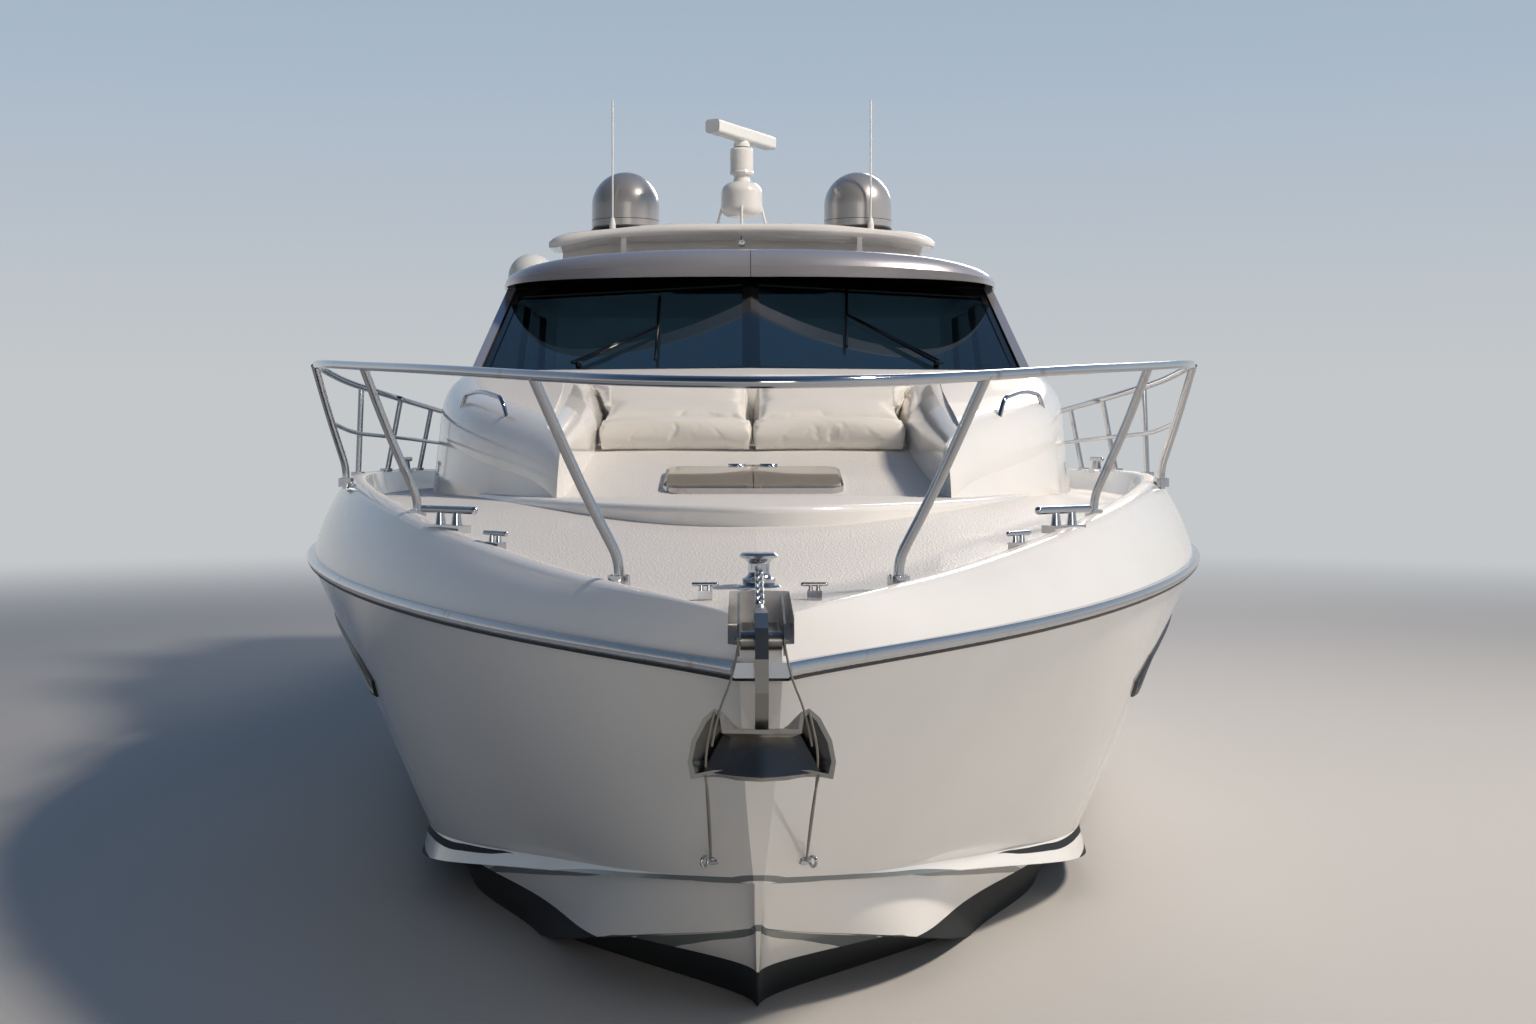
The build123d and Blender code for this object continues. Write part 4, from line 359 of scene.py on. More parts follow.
# %% Plastics
# name: dark tone, light tone, roughness, grains per metre, grain depth in metres
MOULDED = {
    "screen_trim_gloss_black": ("#08090A", "#101214", 0.12, 60, 0.0002),
    "wiper_satin_black": ("#0C0D0E", "#17191B", 0.42, 400, 0.0003),
    "console_grained_grey": ("#2A2B2E", "#38393D", 0.55, 500, 0.0006),
    "aerial_satin_white": ("#E4E4E1", "#F2F2EF", 0.33, 120, 0.0003),
    "cord_braided_grey": ("#6F6A62", "#958F86", 0.7, 900, 0.0006),
    "vinyl_piping_grey": ("#A7A29A", "#BDB8AF", 0.5, 500, 0.0003),
    "wheel_stitched_leather": ("#101011", "#1D1D1F", 0.5, 700, 0.0006),
}
moulded = {}
for name, (dark, light, roughness, grains, depth) in MOULDED.items():
    moulded[name], tree, shader, place = new_finish(name, Roughness=roughness)
    tone = drifting(tree, place, 6.0, 5.0, dark, light)[1]
    grain = add(tree, "ShaderNodeTexVoronoi", {"Vector": place, "Scale": float(grains)})
    bump = add(tree, "ShaderNodeBump", {"Height": grain.outputs["Distance"], "Distance": depth,
                                        "Strength": 0.6})
    feed(tree, shader, Base_Color=tone, Normal=bump.outputs["Normal"])
dress(moulded["screen_trim_gloss_black"], "windscreen_frame")
dress(moulded["wiper_satin_black"], "wiper_port", "wiper_starboard")
dress(moulded["console_grained_grey"], "helm_console")
dress(moulded["aerial_satin_white"], "aerials", "radar_scanner")
dress(moulded["wheel_stitched_leather"], "steering_wheel")
print("moulded finishes:", len(moulded))

# %% [markdown]
# ## Teak and joinery
# The cockpit sole is laid teak: planks 45 mm wide, fore and aft, with 5 mm black caulking between them.
# The plank number, taken from X, shifts the tone of each plank, and a noise stretched along the boat
# makes the grain.

# %% Teak
PLANK = 0.050
CAULK = 0.005
woods = {}
for name, dark, light, caulk in (("teak_laid_deck", "#8A623F", "#B48B60", CAULK),
                                 ("joinery_satin_oak", "#6F5237", "#8E6D4B", 0.0)):
    woods[name], tree, shader, place = new_finish(name, Roughness=0.5)
    part = add(tree, "ShaderNodeSeparateXYZ", {"Vector": place})
    plank = add(tree, "ShaderNodeMath", {0: part.outputs["X"], 1: PLANK}, operation="DIVIDE")
    number = add(tree, "ShaderNodeMath", {0: plank.outputs[0]}, operation="FLOOR")
    across = add(tree, "ShaderNodeMath", {0: plank.outputs[0]}, operation="FRACT")
    tone_of = add(tree, "ShaderNodeTexWhiteNoise", {"W": number.outputs[0]}, noise_dimensions="1D")
    stretch = add(tree, "ShaderNodeMapping", {"Vector": place, "Scale": (160.0, 4.0, 40.0)})
    grain = add(tree, "ShaderNodeTexNoise", {"Vector": stretch.outputs["Vector"], "Scale": 1.0,
                                             "Detail": 5.0})
    blend = add(tree, "ShaderNodeMath", {0: tone_of.outputs["Value"], 1: 0.45, 2: grain.outputs["Fac"]},
                operation="MULTIPLY_ADD")
    blend = add(tree, "ShaderNodeMath", {0: blend.outputs[0], 1: 0.7}, operation="MULTIPLY")
    tone = add(tree, "ShaderNodeMix", {"Factor": blend.outputs[0], 6: linear(dark), 7: linear(light)},
               data_type="RGBA")
    seam = add(tree, "ShaderNodeMath", {0: across.outputs[0], 1: caulk / PLANK}, operation="LESS_THAN")
    laid = add(tree, "ShaderNodeMix", {"Factor": seam.outputs[0], 6: tone.outputs[2], 7: linear("#15130F")},
               data_type="RGBA")
    bump = add(tree, "ShaderNodeBump", {"Height": grain.outputs["Fac"], "Distance": 0.0006, "Strength": 0.5})
    feed(tree, shader, Base_Color=laid.outputs[2], Normal=bump.outputs["Normal"])
dress(woods["teak_laid_deck"], "cockpit_sole")
dress(woods["joinery_satin_oak"], "saloon")
print("woods:", list(woods))

# %% [markdown]
# ## Bronze, enamel and alloy
# Propellers, brackets and rudders are cast bronze, dulled by salt. The engines are enamelled blocks that
# only show from the bay, and the door runs in tracks of brushed alloy.

# %% Bronze, enamel and brushed alloy
# name: dark tone, light tone, metallic, roughness
METALS = {
    "bronze_sea_worn": ("#6B4E25", "#A0793C", 0.9, 0.38),
    "engine_enamel_grey": ("#A9ABAC", "#C2C4C4", 0.0, 0.35),
    "track_brushed_alloy": ("#8E8F92", "#A9AAAD", 1.0, 0.3),
}
metals = {}
for name, (dark, light, metallic, roughness) in METALS.items():
    metals[name], tree, shader, place = new_finish(name, Metallic=metallic, Roughness=roughness)
    patina, tone = drifting(tree, place, 18.0, 8.0, dark, light)
    bump = add(tree, "ShaderNodeBump", {"Height": patina, "Distance": 0.001, "Strength": 0.4})
    feed(tree, shader, Base_Color=tone, Normal=bump.outputs["Normal"])
dress(metals["bronze_sea_worn"], "stern_gear", "propeller_port", "propeller_starboard", "rudder_port",
      "rudder_starboard")
dress(metals["engine_enamel_grey"], "engines")
dress(metals["track_brushed_alloy"], "door_tracks")
print("other metals and enamels:", list(metals))

# %% [markdown]
# ## Marine vinyl
# Cushions are foam under coated fabric: off-white, matt with a soft sheen, with a fine pebbled grain of
# about 1.5 mm. Creases catch a little dirt, so the tone drifts with a soft noise.

# %% Vinyl
vinyl, tree, shader, place = new_finish("vinyl_pebbled_offwhite", Roughness=0.48, Sheen_Weight=0.15)
tone = drifting(tree, place, 3.5, 5.0, "#DDD7CD", "#EFEBE4")[1]
crease = add(tree, "ShaderNodeTexNoise", {"Vector": place, "Scale": 11.0, "Detail": 2.0})
bump = add(tree, "ShaderNodeBump", {"Height": crease.outputs["Fac"], "Distance": 0.006, "Strength": 0.35})
pebble = add(tree, "ShaderNodeTexVoronoi", {"Vector": place, "Scale": 650.0})
bump = add(tree, "ShaderNodeBump", {"Height": pebble.outputs["Distance"], "Distance": 0.0005, "Strength": 0.5,
                                    "Normal": bump.outputs["Normal"]})
feed(tree, shader, Base_Color=tone, Normal=bump.outputs["Normal"])
dress(vinyl, "bow_sunpad", "settee_cushions", "aft_sunpad", "helm_seat")
print("vinyl:", vinyl.name)

# %% [markdown]
# ## Tools for modelling
# Each fitting below is modelled as at the bench: a primitive is put in its place, its faces are picked by
# where they lie or face, and it is shaped in edit mode and by modifiers. An operator acts on all that is
# selected, so each helper first deselects everything.

# %% Helpers for modelling
def clear_selection():
    """Leaves edit mode and deselects everything."""
    if bpy.context.mode != "OBJECT":
        bpy.ops.object.mode_set(mode="OBJECT")
    bpy.ops.object.select_all(action="DESELECT")


def take(*pieces):
    """Selects these pieces only; the last one is active."""
    clear_selection()
    for piece in pieces:
        piece.select_set(True)
    bpy.context.view_layer.objects.active = pieces[-1]


def start(kind, place, scale=(1, 1, 1), turn=(0, 0, 0), **shape):
    """A primitive in its place, stretched by a scale, active in object mode."""
    clear_selection()
    rotation = [radians(angle) for angle in turn]
    getattr(bpy.ops.mesh, "primitive_" + kind + "_add")(location=place, rotation=rotation, **shape)
    piece = bpy.context.object
    piece.scale = scale
    bpy.ops.object.transform_apply(location=False, rotation=False, scale=True)
    return piece


def pick(piece, faces=None, edges=None):
    """Edit mode with only the faces, or edges, selected for which the test is true."""
    take(piece)
    bpy.ops.object.mode_set(mode="EDIT")
    bpy.ops.mesh.select_mode(type="FACE" if faces else "EDGE")
    bpy.ops.mesh.select_all(action="DESELECT")
    form = bmesh.from_edit_mesh(piece.data)
    for face in (form.faces if faces else []):
        face.select = bool(faces(face))
    for edge in (form.edges if edges else []):
        edge.select = bool(edges(edge))
    form.select_flush_mode()
    bmesh.update_edit_mesh(piece.data)


def modify(piece, kind, **settings):
    """Adds a modifier and applies it."""
    take(piece)
    modifier = piece.modifiers.new(kind.title(), kind)
    for name, value in settings.items():
        setattr(modifier, name, value)
    bpy.ops.object.modifier_apply(modifier=modifier.name)


# %% [markdown]
# ## Copies, cords and the hand-over
# What repeats is modelled once and copied, each copy with its own mesh. The CAD meshes are loose
# triangles, so a copy of one is merged before it is shaped. A finished piece has its place in its mesh,
# and it learns which body carries it and what it is made of.

# %% Helpers for copies and for finishing
def hand_over(piece, name, material, body="boat", smooth=35, replaces=()):
    """Finishes a piece: its place goes into its mesh, and it gets its name, finish and body."""
    take(piece)
    bpy.ops.object.transform_apply(location=True, rotation=True, scale=True)
    bpy.ops.object.shade_smooth_by_angle(angle=radians(smooth))
    piece.name = name
    piece.data.name = name
    piece.data.materials.clear()
    piece.data.materials.append(material)
    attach(piece, body)
    if replaces:
        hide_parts(*replaces)
    return piece


def joined(*pieces):
    """These pieces as one, in the last of them."""
    take(*pieces)
    bpy.ops.object.join()
    return bpy.context.object


def copy_of(piece):
    """A copy of a piece with a mesh of its own."""
    copy = piece.copy()
    copy.data = piece.data.copy()
    bpy.context.collection.objects.link(copy)
    return copy


def many(first, spots):
    """A piece and its copies, one for each further place, as one."""
    copies = []
    for spot in spots[1:]:
        copy = copy_of(first)
        copy.location = first.location + Vector(spot) - Vector(spots[0])
        copies.append(copy)
    return joined(*copies, first)


MERGE = 0.0002


def merged(node):
    """A copy of a CAD piece, its loose triangles merged, all of it selected in edit mode."""
    copy = copy_of(NODES[node])
    pick(copy, faces=lambda face: True)
    bpy.ops.mesh.remove_doubles(threshold=MERGE)
    return copy


def swell(growth):
    """Moves the selected skin out by growth, or in where that is negative."""
    bpy.ops.mesh.normals_make_consistent(inside=False)
    bpy.ops.transform.shrink_fatten(value=growth)


def as_cord(radius, roundness):
    """Turns the edges of the piece in hand into round cord."""
    bpy.ops.object.mode_set(mode="OBJECT")
    bpy.ops.object.convert(target="CURVE")
    cord = bpy.context.object
    cord.data.bevel_depth = radius
    cord.data.bevel_resolution = roundness
    bpy.ops.object.convert(target="MESH")
    return bpy.context.object


# %% [markdown]
# ## Cushions
# A boat cushion is a slab of foam in a cover that is cut a little small, so it crowns in the middle and
# its sides pull in between the corners. The cloth solver gives that shape: a closed form is remeshed
# evenly, put under pressure without gravity, and stopped where the real cover would be tight. The form
# starts a little smaller than the space it fills, and no point may sink into what carries it, so the
# underside stays flat.

# %% Cushion maker
UP = Vector((0, 0, 1))
PRESSURE = 4.0
FRAMES = 20


def inflate(pad, cap, voxel, up=UP):
    """Swells a closed form with the cloth solver; no point moves further than cap, or down."""
    modify(pad, "REMESH", mode="VOXEL", voxel_size=voxel)
    before = [vertex.co.copy() for vertex in pad.data.vertices]
    cloth = pad.modifiers.new("Cloth", "CLOTH")
    cloth.settings.use_pressure = True
    cloth.settings.uniform_pressure_force = PRESSURE
    cloth.settings.effector_weights.gravity = 0
    cloth.point_cache.frame_end = FRAMES
    for number in range(1, FRAMES + 1):
        bpy.context.scene.frame_set(number)
    bpy.ops.object.modifier_apply(modifier=cloth.name)
    for vertex, old in zip(pad.data.vertices, before):
        move = vertex.co - old
        move -= up * min(0.0, move.dot(up))
        vertex.co = old + move * min(1.0, cap / max(move.length, 1e-9))
    bpy.context.scene.frame_set(1)
    modify(pad, "SUBSURF", levels=1, render_levels=1)


WELT_RADIUS = 0.0045


def piping(pad, name, through, normal, body):
    """Welt cord sewn round a cushion, on the line where a plane cuts it."""
    pick(copy_of(pad), faces=lambda face: True)
    bpy.ops.mesh.bisect(plane_co=through, plane_no=normal, clear_inner=True, clear_outer=True)
    return hand_over(as_cord(WELT_RADIUS, 1), name, moulded["vinyl_piping_grey"], body)


# %% [markdown]
# ## The sunpads on the foredeck
# These pads follow the sloping floor of their recess, so they start as a copy of the CAD piece. It is
# split into its solids, and each is drawn in by a few millimetres to leave room for the swelling. The
# head pads lie on a slope, so for them up is square to it.

# %% Foredeck sunpad
SUNPAD_NAMES = ("sunpad_roll_starboard", "sunpad_head_starboard", "sunpad_roll_port", "sunpad_head_port")
HEAD_UP = Vector((0, -0.34, 0.94)).normalized()
merged("bow_sunpad")
bpy.ops.mesh.separate(type="LOOSE")
bpy.ops.object.mode_set(mode="OBJECT")
pads = sorted(bpy.context.selected_objects, key=lambda pad: (pad.bound_box[0][0] > -0.1, pad.bound_box[0][1]))
for pad, name in zip(pads, SUNPAD_NAMES):
    pick(pad, faces=lambda face: True)
    swell(growth=-0.008)
    inflate(pad, cap=0.026, voxel=0.012, up=HEAD_UP if "head" in name else UP)
    hand_over(pad, name, vinyl, replaces=("bow_sunpad",))
    print(name, [round(side, 3) for side in pad.dimensions])

# %% [markdown]
# ## Seats and stern pad
# Settee, helm seat and stern pad are plain boxed cushions, so they start as blocks from a table, a little
# smaller than their room, with rounded edges. Each gets a welt of piping round its middle, where top and
# bottom panel meet.

# %% Settee, helm seat and stern pad
ROOM = 0.012
# node, body and furthest swelling, then the name, lowest and highest corner of each cushion
BLOCKS = {
    ("settee_cushions", "boat", 0.022): [
        ("settee_seat_fore", (0.905, aft(7.76), 1.386), (1.44, aft(8.565), 1.490)),
        ("settee_seat_middle", (0.905, aft(8.57), 1.386), (1.44, aft(9.375), 1.490)),
        ("settee_seat_aft", (0.905, aft(9.38), 1.386), (1.44, aft(10.19), 1.490)),
        ("settee_back_fore", (1.449, aft(7.76), 1.386), (1.575, aft(8.97), 1.860)),
        ("settee_back_aft", (1.449, aft(8.975), 1.386), (1.575, aft(10.19), 1.860)),
    ],
    ("aft_sunpad", "sunpad_lid", 0.022): [
        ("stern_pad_starboard", (-1.245, aft(12.03), 1.494), (-0.24, aft(12.90), 1.595)),
        ("stern_pad_port", (-0.232, aft(12.03), 1.494), (0.775, aft(12.90), 1.595)),
    ],
    ("helm_seat", "boat", 0.018): [
        ("helm_seat_pad_starboard", (-1.475, aft(8.31), 1.500), (-1.003, aft(8.76), 1.610)),
        ("helm_seat_pad_port", (-0.997, aft(8.31), 1.500), (-0.525, aft(8.76), 1.610)),
        ("helm_seat_back", (-1.475, aft(8.775), 1.560), (-0.525, aft(8.895), 2.090)),
    ],
}
for (node, body, cap), cushions in BLOCKS.items():
    for name, low, high in cushions:
        middle = [(a + b) / 2 for a, b in zip(low, high)]
        size = [b - a - ROOM for a, b in zip(low, high)]
        pad = start("cube", middle, size, size=1)
        modify(pad, "BEVEL", width=0.022, segments=3)
        take(pad)
        bpy.ops.object.transform_apply(location=True, rotation=True, scale=True)
        inflate(pad, cap, voxel=0.014)
        hand_over(pad, name, vinyl, body, replaces=(node,))
        thin = min(range(3), key=lambda axis: size[axis])
        piping(pad, name + "_piping", middle, [float(axis == thin) for axis in range(3)], body)
    print(node, len(cushions), "cushions")

# %% [markdown]
# ## The helm seat's pedestal
# Under the helm pads stands a moulded box. The bottom face of a block is inset and drawn down to a
# plinth, which leaves room for the toes all round, and the edges are rounded.

# %% Helm seat pedestal
box = start("cube", (-1.0, aft(8.59), 1.195), (0.95, 0.46, 0.59), size=1)
pick(box, faces=lambda face: face.normal.z < -0.9)
bpy.ops.mesh.inset(thickness=0.05, depth=0)
bpy.ops.mesh.extrude_region_move(TRANSFORM_OT_translate={"value": (0, 0, -0.07)})
modify(box, "BEVEL", width=0.018, segments=3, limit_method="ANGLE")
hand_over(box, "helm_seat_pedestal", gelcoat, replaces=("helm_seat",))
print("pedestal", [round(side, 3) for side in box.dimensions])

# %% [markdown]
# ## Seals round the hull lights
# Each light in the topsides has a black half-round seal. The outer skin of the CAD pane gives its line:
# its faces are picked by the way they face, their border becomes a curve, and a round section follows it.

# %% Hull light seals
SEAL_RADIUS = 0.016
trim = merged("hull_windows")
pick(trim, faces=lambda face: face.normal.x * face.calc_center_median().x > 0.6)
bpy.ops.mesh.region_to_loop()
bpy.ops.mesh.select_all(action="INVERT")
bpy.ops.mesh.delete(type="EDGE")
bpy.ops.mesh.select_all(action="SELECT")
bpy.ops.mesh.delete_loose(use_verts=True, use_edges=False, use_faces=False)
trim = hand_over(as_cord(SEAL_RADIUS, 2), "hull_light_seals", moulded["wiper_satin_black"])
print("seals", len(trim.data.polygons), "faces")

# %% [markdown]
# ## Anchor lashings
# The anchor is lashed down with thin cord on both sides: from the cheek of the roller to the ear of the
# fluke, and from the ear and from the tip of the fluke to an eye on the stem. The cord is taut, so three
# or four points give each run, and a smooth curve through them gets a round section.

# %% Lashings
LASHING_RADIUS = 0.0034
# points of each run on the port side
LASHINGS = [
    [(0.064, -7.385, 1.400), (0.075, -7.430, 1.330), (0.118, -7.482, 1.236), (0.132, -7.487, 1.150)],
    [(0.126, -7.478, 1.236), (0.146, -7.489, 1.160), (0.150, -7.470, 1.068), (0.153, -6.480, 0.632)],
    [(0.150, -7.470, 1.068), (0.140, -7.250, 0.950), (0.152, -6.485, 0.630)],
]


def tube_through(points, radius):
    """Smooth tube through points, as a mesh."""
    curve = bpy.data.curves.new("run", "CURVE")
    curve.dimensions = "3D"
    spline = curve.splines.new("NURBS")
    spline.points.add(len(points) - 1)
    for point, place in zip(spline.points, points):
        point.co = (*place, 1)
    spline.order_u = 3
    spline.use_endpoint_u = True
    curve.bevel_depth = radius
    curve.bevel_resolution = 2
    curve.resolution_u = 8
    curve.use_fill_caps = True
    run = bpy.data.objects.new("run", curve)
    bpy.context.collection.objects.link(run)
    take(run)
    bpy.ops.object.convert(target="MESH")
    return bpy.context.object


runs = []
for side in (1, -1):
    for points in LASHINGS:
        runs.append(tube_through([(x * side, y, z) for x, y, z in points], LASHING_RADIUS))
hand_over(joined(*runs), "anchor_lashings", moulded["cord_braided_grey"], smooth=60)
print("lashing runs:", len(runs))

# %% [markdown]
# ## The fluke's web and the rail's gasket
# Between the ears of the anchor lies a bent web with a ridge down its middle, drawn from a grid: the
# lower edge is wider and further ahead, the ridge stands out most at the foot. A thin black slab in the
# channel of the bow roller is painted shade for the dark inside of the channel. Under the rub rail a black
# gasket shows as a thin line: a copy of the rail, drawn in and lowered.

# %% Fluke web, painted shade in the roller channel, and gasket
web = start("grid", (0, 0, 0), x_subdivisions=16, y_subdivisions=10, size=2)
for vertex in web.data.vertices:
    across, down = vertex.co.x, (1 - vertex.co.y) / 2
    half = 0.095 + 0.060 * down
    ridge = (1 - abs(across)) * (0.012 + 0.022 * down)
    height = 1.182 - (0.116 - 0.012 * across * across) * down
    vertex.co = (across * half, -7.405 - 0.052 * down - ridge, height)
modify(web, "SOLIDIFY", thickness=0.006, offset=0)
hand_over(web, "anchor_fluke_web", dull_steel, smooth=50)
# painted shade: a black slab for the dark inside of the roller channel
channel_shade = start("cube", (0, -7.0, 1.403), scale=(0.104, 0.52, 0.005), size=1)
modify(channel_shade, "BEVEL", width=0.0015, segments=2)
hand_over(channel_shade, "bow_roller_channel_painted_shade", moulded["wiper_satin_black"])
gasket = merged("rub_rail")
swell(growth=-0.004)
bpy.ops.transform.translate(value=(0, 0, -0.011))
hand_over(gasket, "rub_rail_gasket", moulded["wiper_satin_black"])
print("web", len(web.data.polygons), "gasket", len(gasket.data.polygons))

# %% [markdown]
# ## Wipers and hatch rim
# The real wipers are boxed steel arms, heavier than the plain rods of the solids, and the hatch has a
# half-round rim that stands proud of the deck. All are swollen copies of the CAD pieces, their skin moved
# out by a few millimetres.

# %% Wipers and hatch rim
gloss_black = moulded["screen_trim_gloss_black"]
# node, piece, finish, slot, body, growth
SWOLLEN = [
    ("wiper_port", "wiper_port_arms", gloss_black, "black_plastic", "wiper_right", 0.004),
    ("wiper_starboard", "wiper_starboard_arms", gloss_black, "black_plastic", "wiper_left", 0.004),
    ("hatch_frame", "hatch_rim", steel, "polished_steel", "boat", 0.005),
]
for node, name, material, slot, body, growth in SWOLLEN:
    copy = merged(node)
    swell(growth)
    hand_over(copy, name, material, body, replaces=(node,))
    print(name, [round(side, 2) for side in copy.dimensions])

# %% [markdown]
# ## Rings under the domes, and the horn
# Each dome stands on a dark base ring with a fine joint line above it. A ring is a cylinder whose ends
# are inset and taken out, and whose thin wall is then given a thickness. A chromed horn hangs under the
# wing: its mouth is drawn out, widened and sunk.

# %% Dome rings and horn
DOMES = [(-0.955, 1.96), (0.835, 1.96)]
# height, depth, radius: first the base ring, then the joint line
RINGS = [(3.589, 0.030, 0.2625), (3.668, 0.004, 0.2608)]
rings = []
for height, depth, radius in RINGS:
    for x, y in DOMES:
        ring = start("cylinder", (x, y, height), vertices=64, radius=radius, depth=depth)
        pick(ring, faces=lambda face: abs(face.normal.z) > 0.9)
        bpy.ops.mesh.inset(thickness=0.012)
        bpy.ops.mesh.delete(type="FACE")
        modify(ring, "SOLIDIFY", thickness=0.002, offset=-1)
        rings.append(ring)
hand_over(joined(*rings), "dome_base_rings", moulded["wiper_satin_black"])
horn = start("cylinder", (-0.06, 1.56, 3.455), turn=(90, 0, 0), vertices=24, radius=0.022, depth=0.17)
pick(horn, faces=lambda face: face.normal.y < -0.9)
bpy.ops.mesh.extrude_region_move(TRANSFORM_OT_translate={"value": (0, -0.07, 0)})
bpy.ops.transform.resize(value=(2.3, 1, 2.3))
bpy.ops.mesh.inset(thickness=0.006)
bpy.ops.mesh.extrude_region_move(TRANSFORM_OT_translate={"value": (0, 0.06, 0)})
bpy.ops.transform.resize(value=(0.4, 1, 0.4))
post = start("cylinder", (-0.06, 1.60, 3.492), vertices=12, radius=0.009, depth=0.075)
pick(post, faces=lambda face: face.normal.z < -0.9)
bpy.ops.transform.resize(value=(1.6, 1.6, 1))
hand_over(joined(post, horn), "horn", steel)
print("rings:", len(rings), "horn", [round(side, 2) for side in horn.dimensions])

# %% [markdown]
# ## Screens and switches
# The dash carries two chart screens and a row of rocker switches. A screen is a case with rounded edges
# and a thin pane of dark glass on it, switched off. All lie on the slope of the console, so one function
# turns a place on the slope into a point.

# %% Helm screens and switches
SLOPE = 36.3
DASH_EDGE = (0.220, 1.985)
ROCKERS = 8


def on_dash(x, up, out=0.0):
    """Point on the dash: x, distance up the slope from its lower edge, distance off it."""
    run, rise = -cos(radians(SLOPE)), sin(radians(SLOPE))
    return (x, DASH_EDGE[0] + up * run + out * rise, DASH_EDGE[1] + up * rise - out * run)


# piece, finish, slot, distance off the dash, size, edge bevel
SCREENS = [
    ("chart_screen_cases", moulded["wiper_satin_black"], "black_plastic", 0.008, (0.40, 0.25, 0.022), 0.006),
    ("chart_screen_glass", dark_glass, "dark_glass", 0.0185, (0.36, 0.21, 0.004), 0.0015),
]
for name, material, slot, out, size, bevel in SCREENS:
    pair = []
    for x in (-1.27, -0.73):
        screen = start("cube", on_dash(x, 0.235, out), size, (-SLOPE, 0, 0), size=1)
        modify(screen, "BEVEL", width=bevel, segments=2)
        pair.append(screen)
    hand_over(joined(*pair), name, material)
rocker = start("cube", on_dash(-1.40, 0.05, 0.004), (0.022, 0.034, 0.012), (-SLOPE, 0, 0), size=1)
pick(rocker, edges=lambda edge: True)
bpy.ops.mesh.bevel(offset=0.003, segments=2)
bpy.ops.object.mode_set(mode="OBJECT")
rocker = many(rocker, [on_dash(-1.40 + 0.034 * number, 0.05) for number in range(ROCKERS)])
hand_over(rocker, "rocker_switches", moulded["wiper_satin_black"])
print("screens: 2, switches:", ROCKERS)

# %% [markdown]
# ## Throttle levers
# Two engines have two levers side by side on a rounded base. Each lever is a thin tube that leans off the
# dash, with an egg-shaped grip at its end.

# %% Throttle levers
base = start("cube", on_dash(-0.60, 0.06, 0.015), (0.09, 0.14, 0.03), (-SLOPE, 0, 0), size=1)
modify(base, "BEVEL", width=0.012, segments=3)
levers = [base]
for x in (-0.622, -0.578):
    foot, knob = Vector(on_dash(x, 0.06, 0.02)), Vector(on_dash(x, 0.085, 0.135))
    levers.append(tube_through([foot, (foot + knob) / 2, knob], 0.005))
    grip = start("uv_sphere", knob, (1, 0.9, 1.5), (-SLOPE, 0, 0), segments=20, ring_count=12, radius=0.017)
    levers.append(grip)
hand_over(joined(*levers), "throttle_levers", steel)
print("throttle levers:", len(levers) // 2)

# %% [markdown]
# ## The swimming platform
# The platform is laid with teak inside a white margin. Its outline follows the rounded corners, so a thin
# block gets its two after corners bevelled wide and its top edge softened.

# %% Platform teak
deck_pad = start("cube", (0, 6.93, 0.4325), (3.76, 0.98, 0.009), size=1)
pick(deck_pad, edges=lambda edge: all(vertex.co.y > 0 for vertex in edge.verts)
     and abs(edge.verts[0].co.z - edge.verts[1].co.z) > 0.001)
bpy.ops.mesh.bevel(offset=0.30, segments=10)
modify(deck_pad, "BEVEL", width=0.002, segments=2, limit_method="ANGLE")
hand_over(deck_pad, "platform_teak", woods["teak_laid_deck"])
print("platform teak", [round(side, 2) for side in deck_pad.dimensions])

# %% [markdown]
# ## Finding the surface
# Fittings stand on curved mouldings, so their places aren't guessed: a ray is sent at the CAD piece, and
# the point and normal that it hits are the seat of the fitting.

# %% Helper for places
def seat_on(node, origin, direction):
    """Point and normal where a ray meets a CAD piece."""
    hit, point, normal = NODES[node].ray_cast(Vector(origin), Vector(direction))[:3]
    assert hit, node
    return point, normal


# %% [markdown]
# ## Small fittings on hull and deck
# Exhaust outlets sit in the topsides near the stern, filler caps in the side decks. Each is a disc with
# its outer face inset and moved, once for the rim of an outlet, twice for the groove round a cap.

# %% Exhausts and fillers
def disc_on(point, normal, sides, radius, depth, steps, edge):
    """A disc on a surface; its outer face is inset and moved along the normal, once for each step."""
    disc = start("cylinder", point, vertices=sides, radius=radius, depth=depth)
    disc.rotation_euler = normal.to_track_quat("Z", "Y").to_euler()
    pick(disc, faces=lambda face: face.normal.z > 0.9)
    for inset, move in steps:
        bpy.ops.mesh.inset(thickness=inset)
        bpy.ops.mesh.extrude_region_move(TRANSFORM_OT_translate={"value": move * normal})
    modify(disc, "BEVEL", width=edge, segments=2, limit_method="ANGLE")
    return disc


# inset and move of the outer face, for each step
OUTLET_STEPS = [(0.012, -0.03)]
CAP_STEPS = [(0.010, -0.002), (0.014, 0.002)]
outlets, caps = [], []
for side in (1, -1):
    # one ray from outside the hull, one from above the deck
    point, normal = seat_on("hull", (side * 3.0, 5.75, 0.30), (-side, 0, 0))
    outlets.append(disc_on(point, normal, sides=32, radius=0.075, depth=0.05, steps=OUTLET_STEPS, edge=0.002))
    point, normal = seat_on("deck", (side * 1.86, 3.1, 2.6), (0, 0, -1))
    point += 0.002 * normal
    caps.append(disc_on(point, normal, sides=40, radius=0.042, depth=0.008, steps=CAP_STEPS, edge=0.001))
hand_over(joined(*outlets), "exhaust_outlets", steel)
hand_over(joined(*caps), "filler_caps", steel)
print("outlets:", len(outlets), "caps:", len(caps))

# %% [markdown]
# ## Bolts at the rail feet
# Every foot of the bow rail is held by three dome-head bolts. One head is a sphere flattened to half its
# height, and half of it is sunk in the foot. It is copied round each foot, on the surface that the ray
# finds.

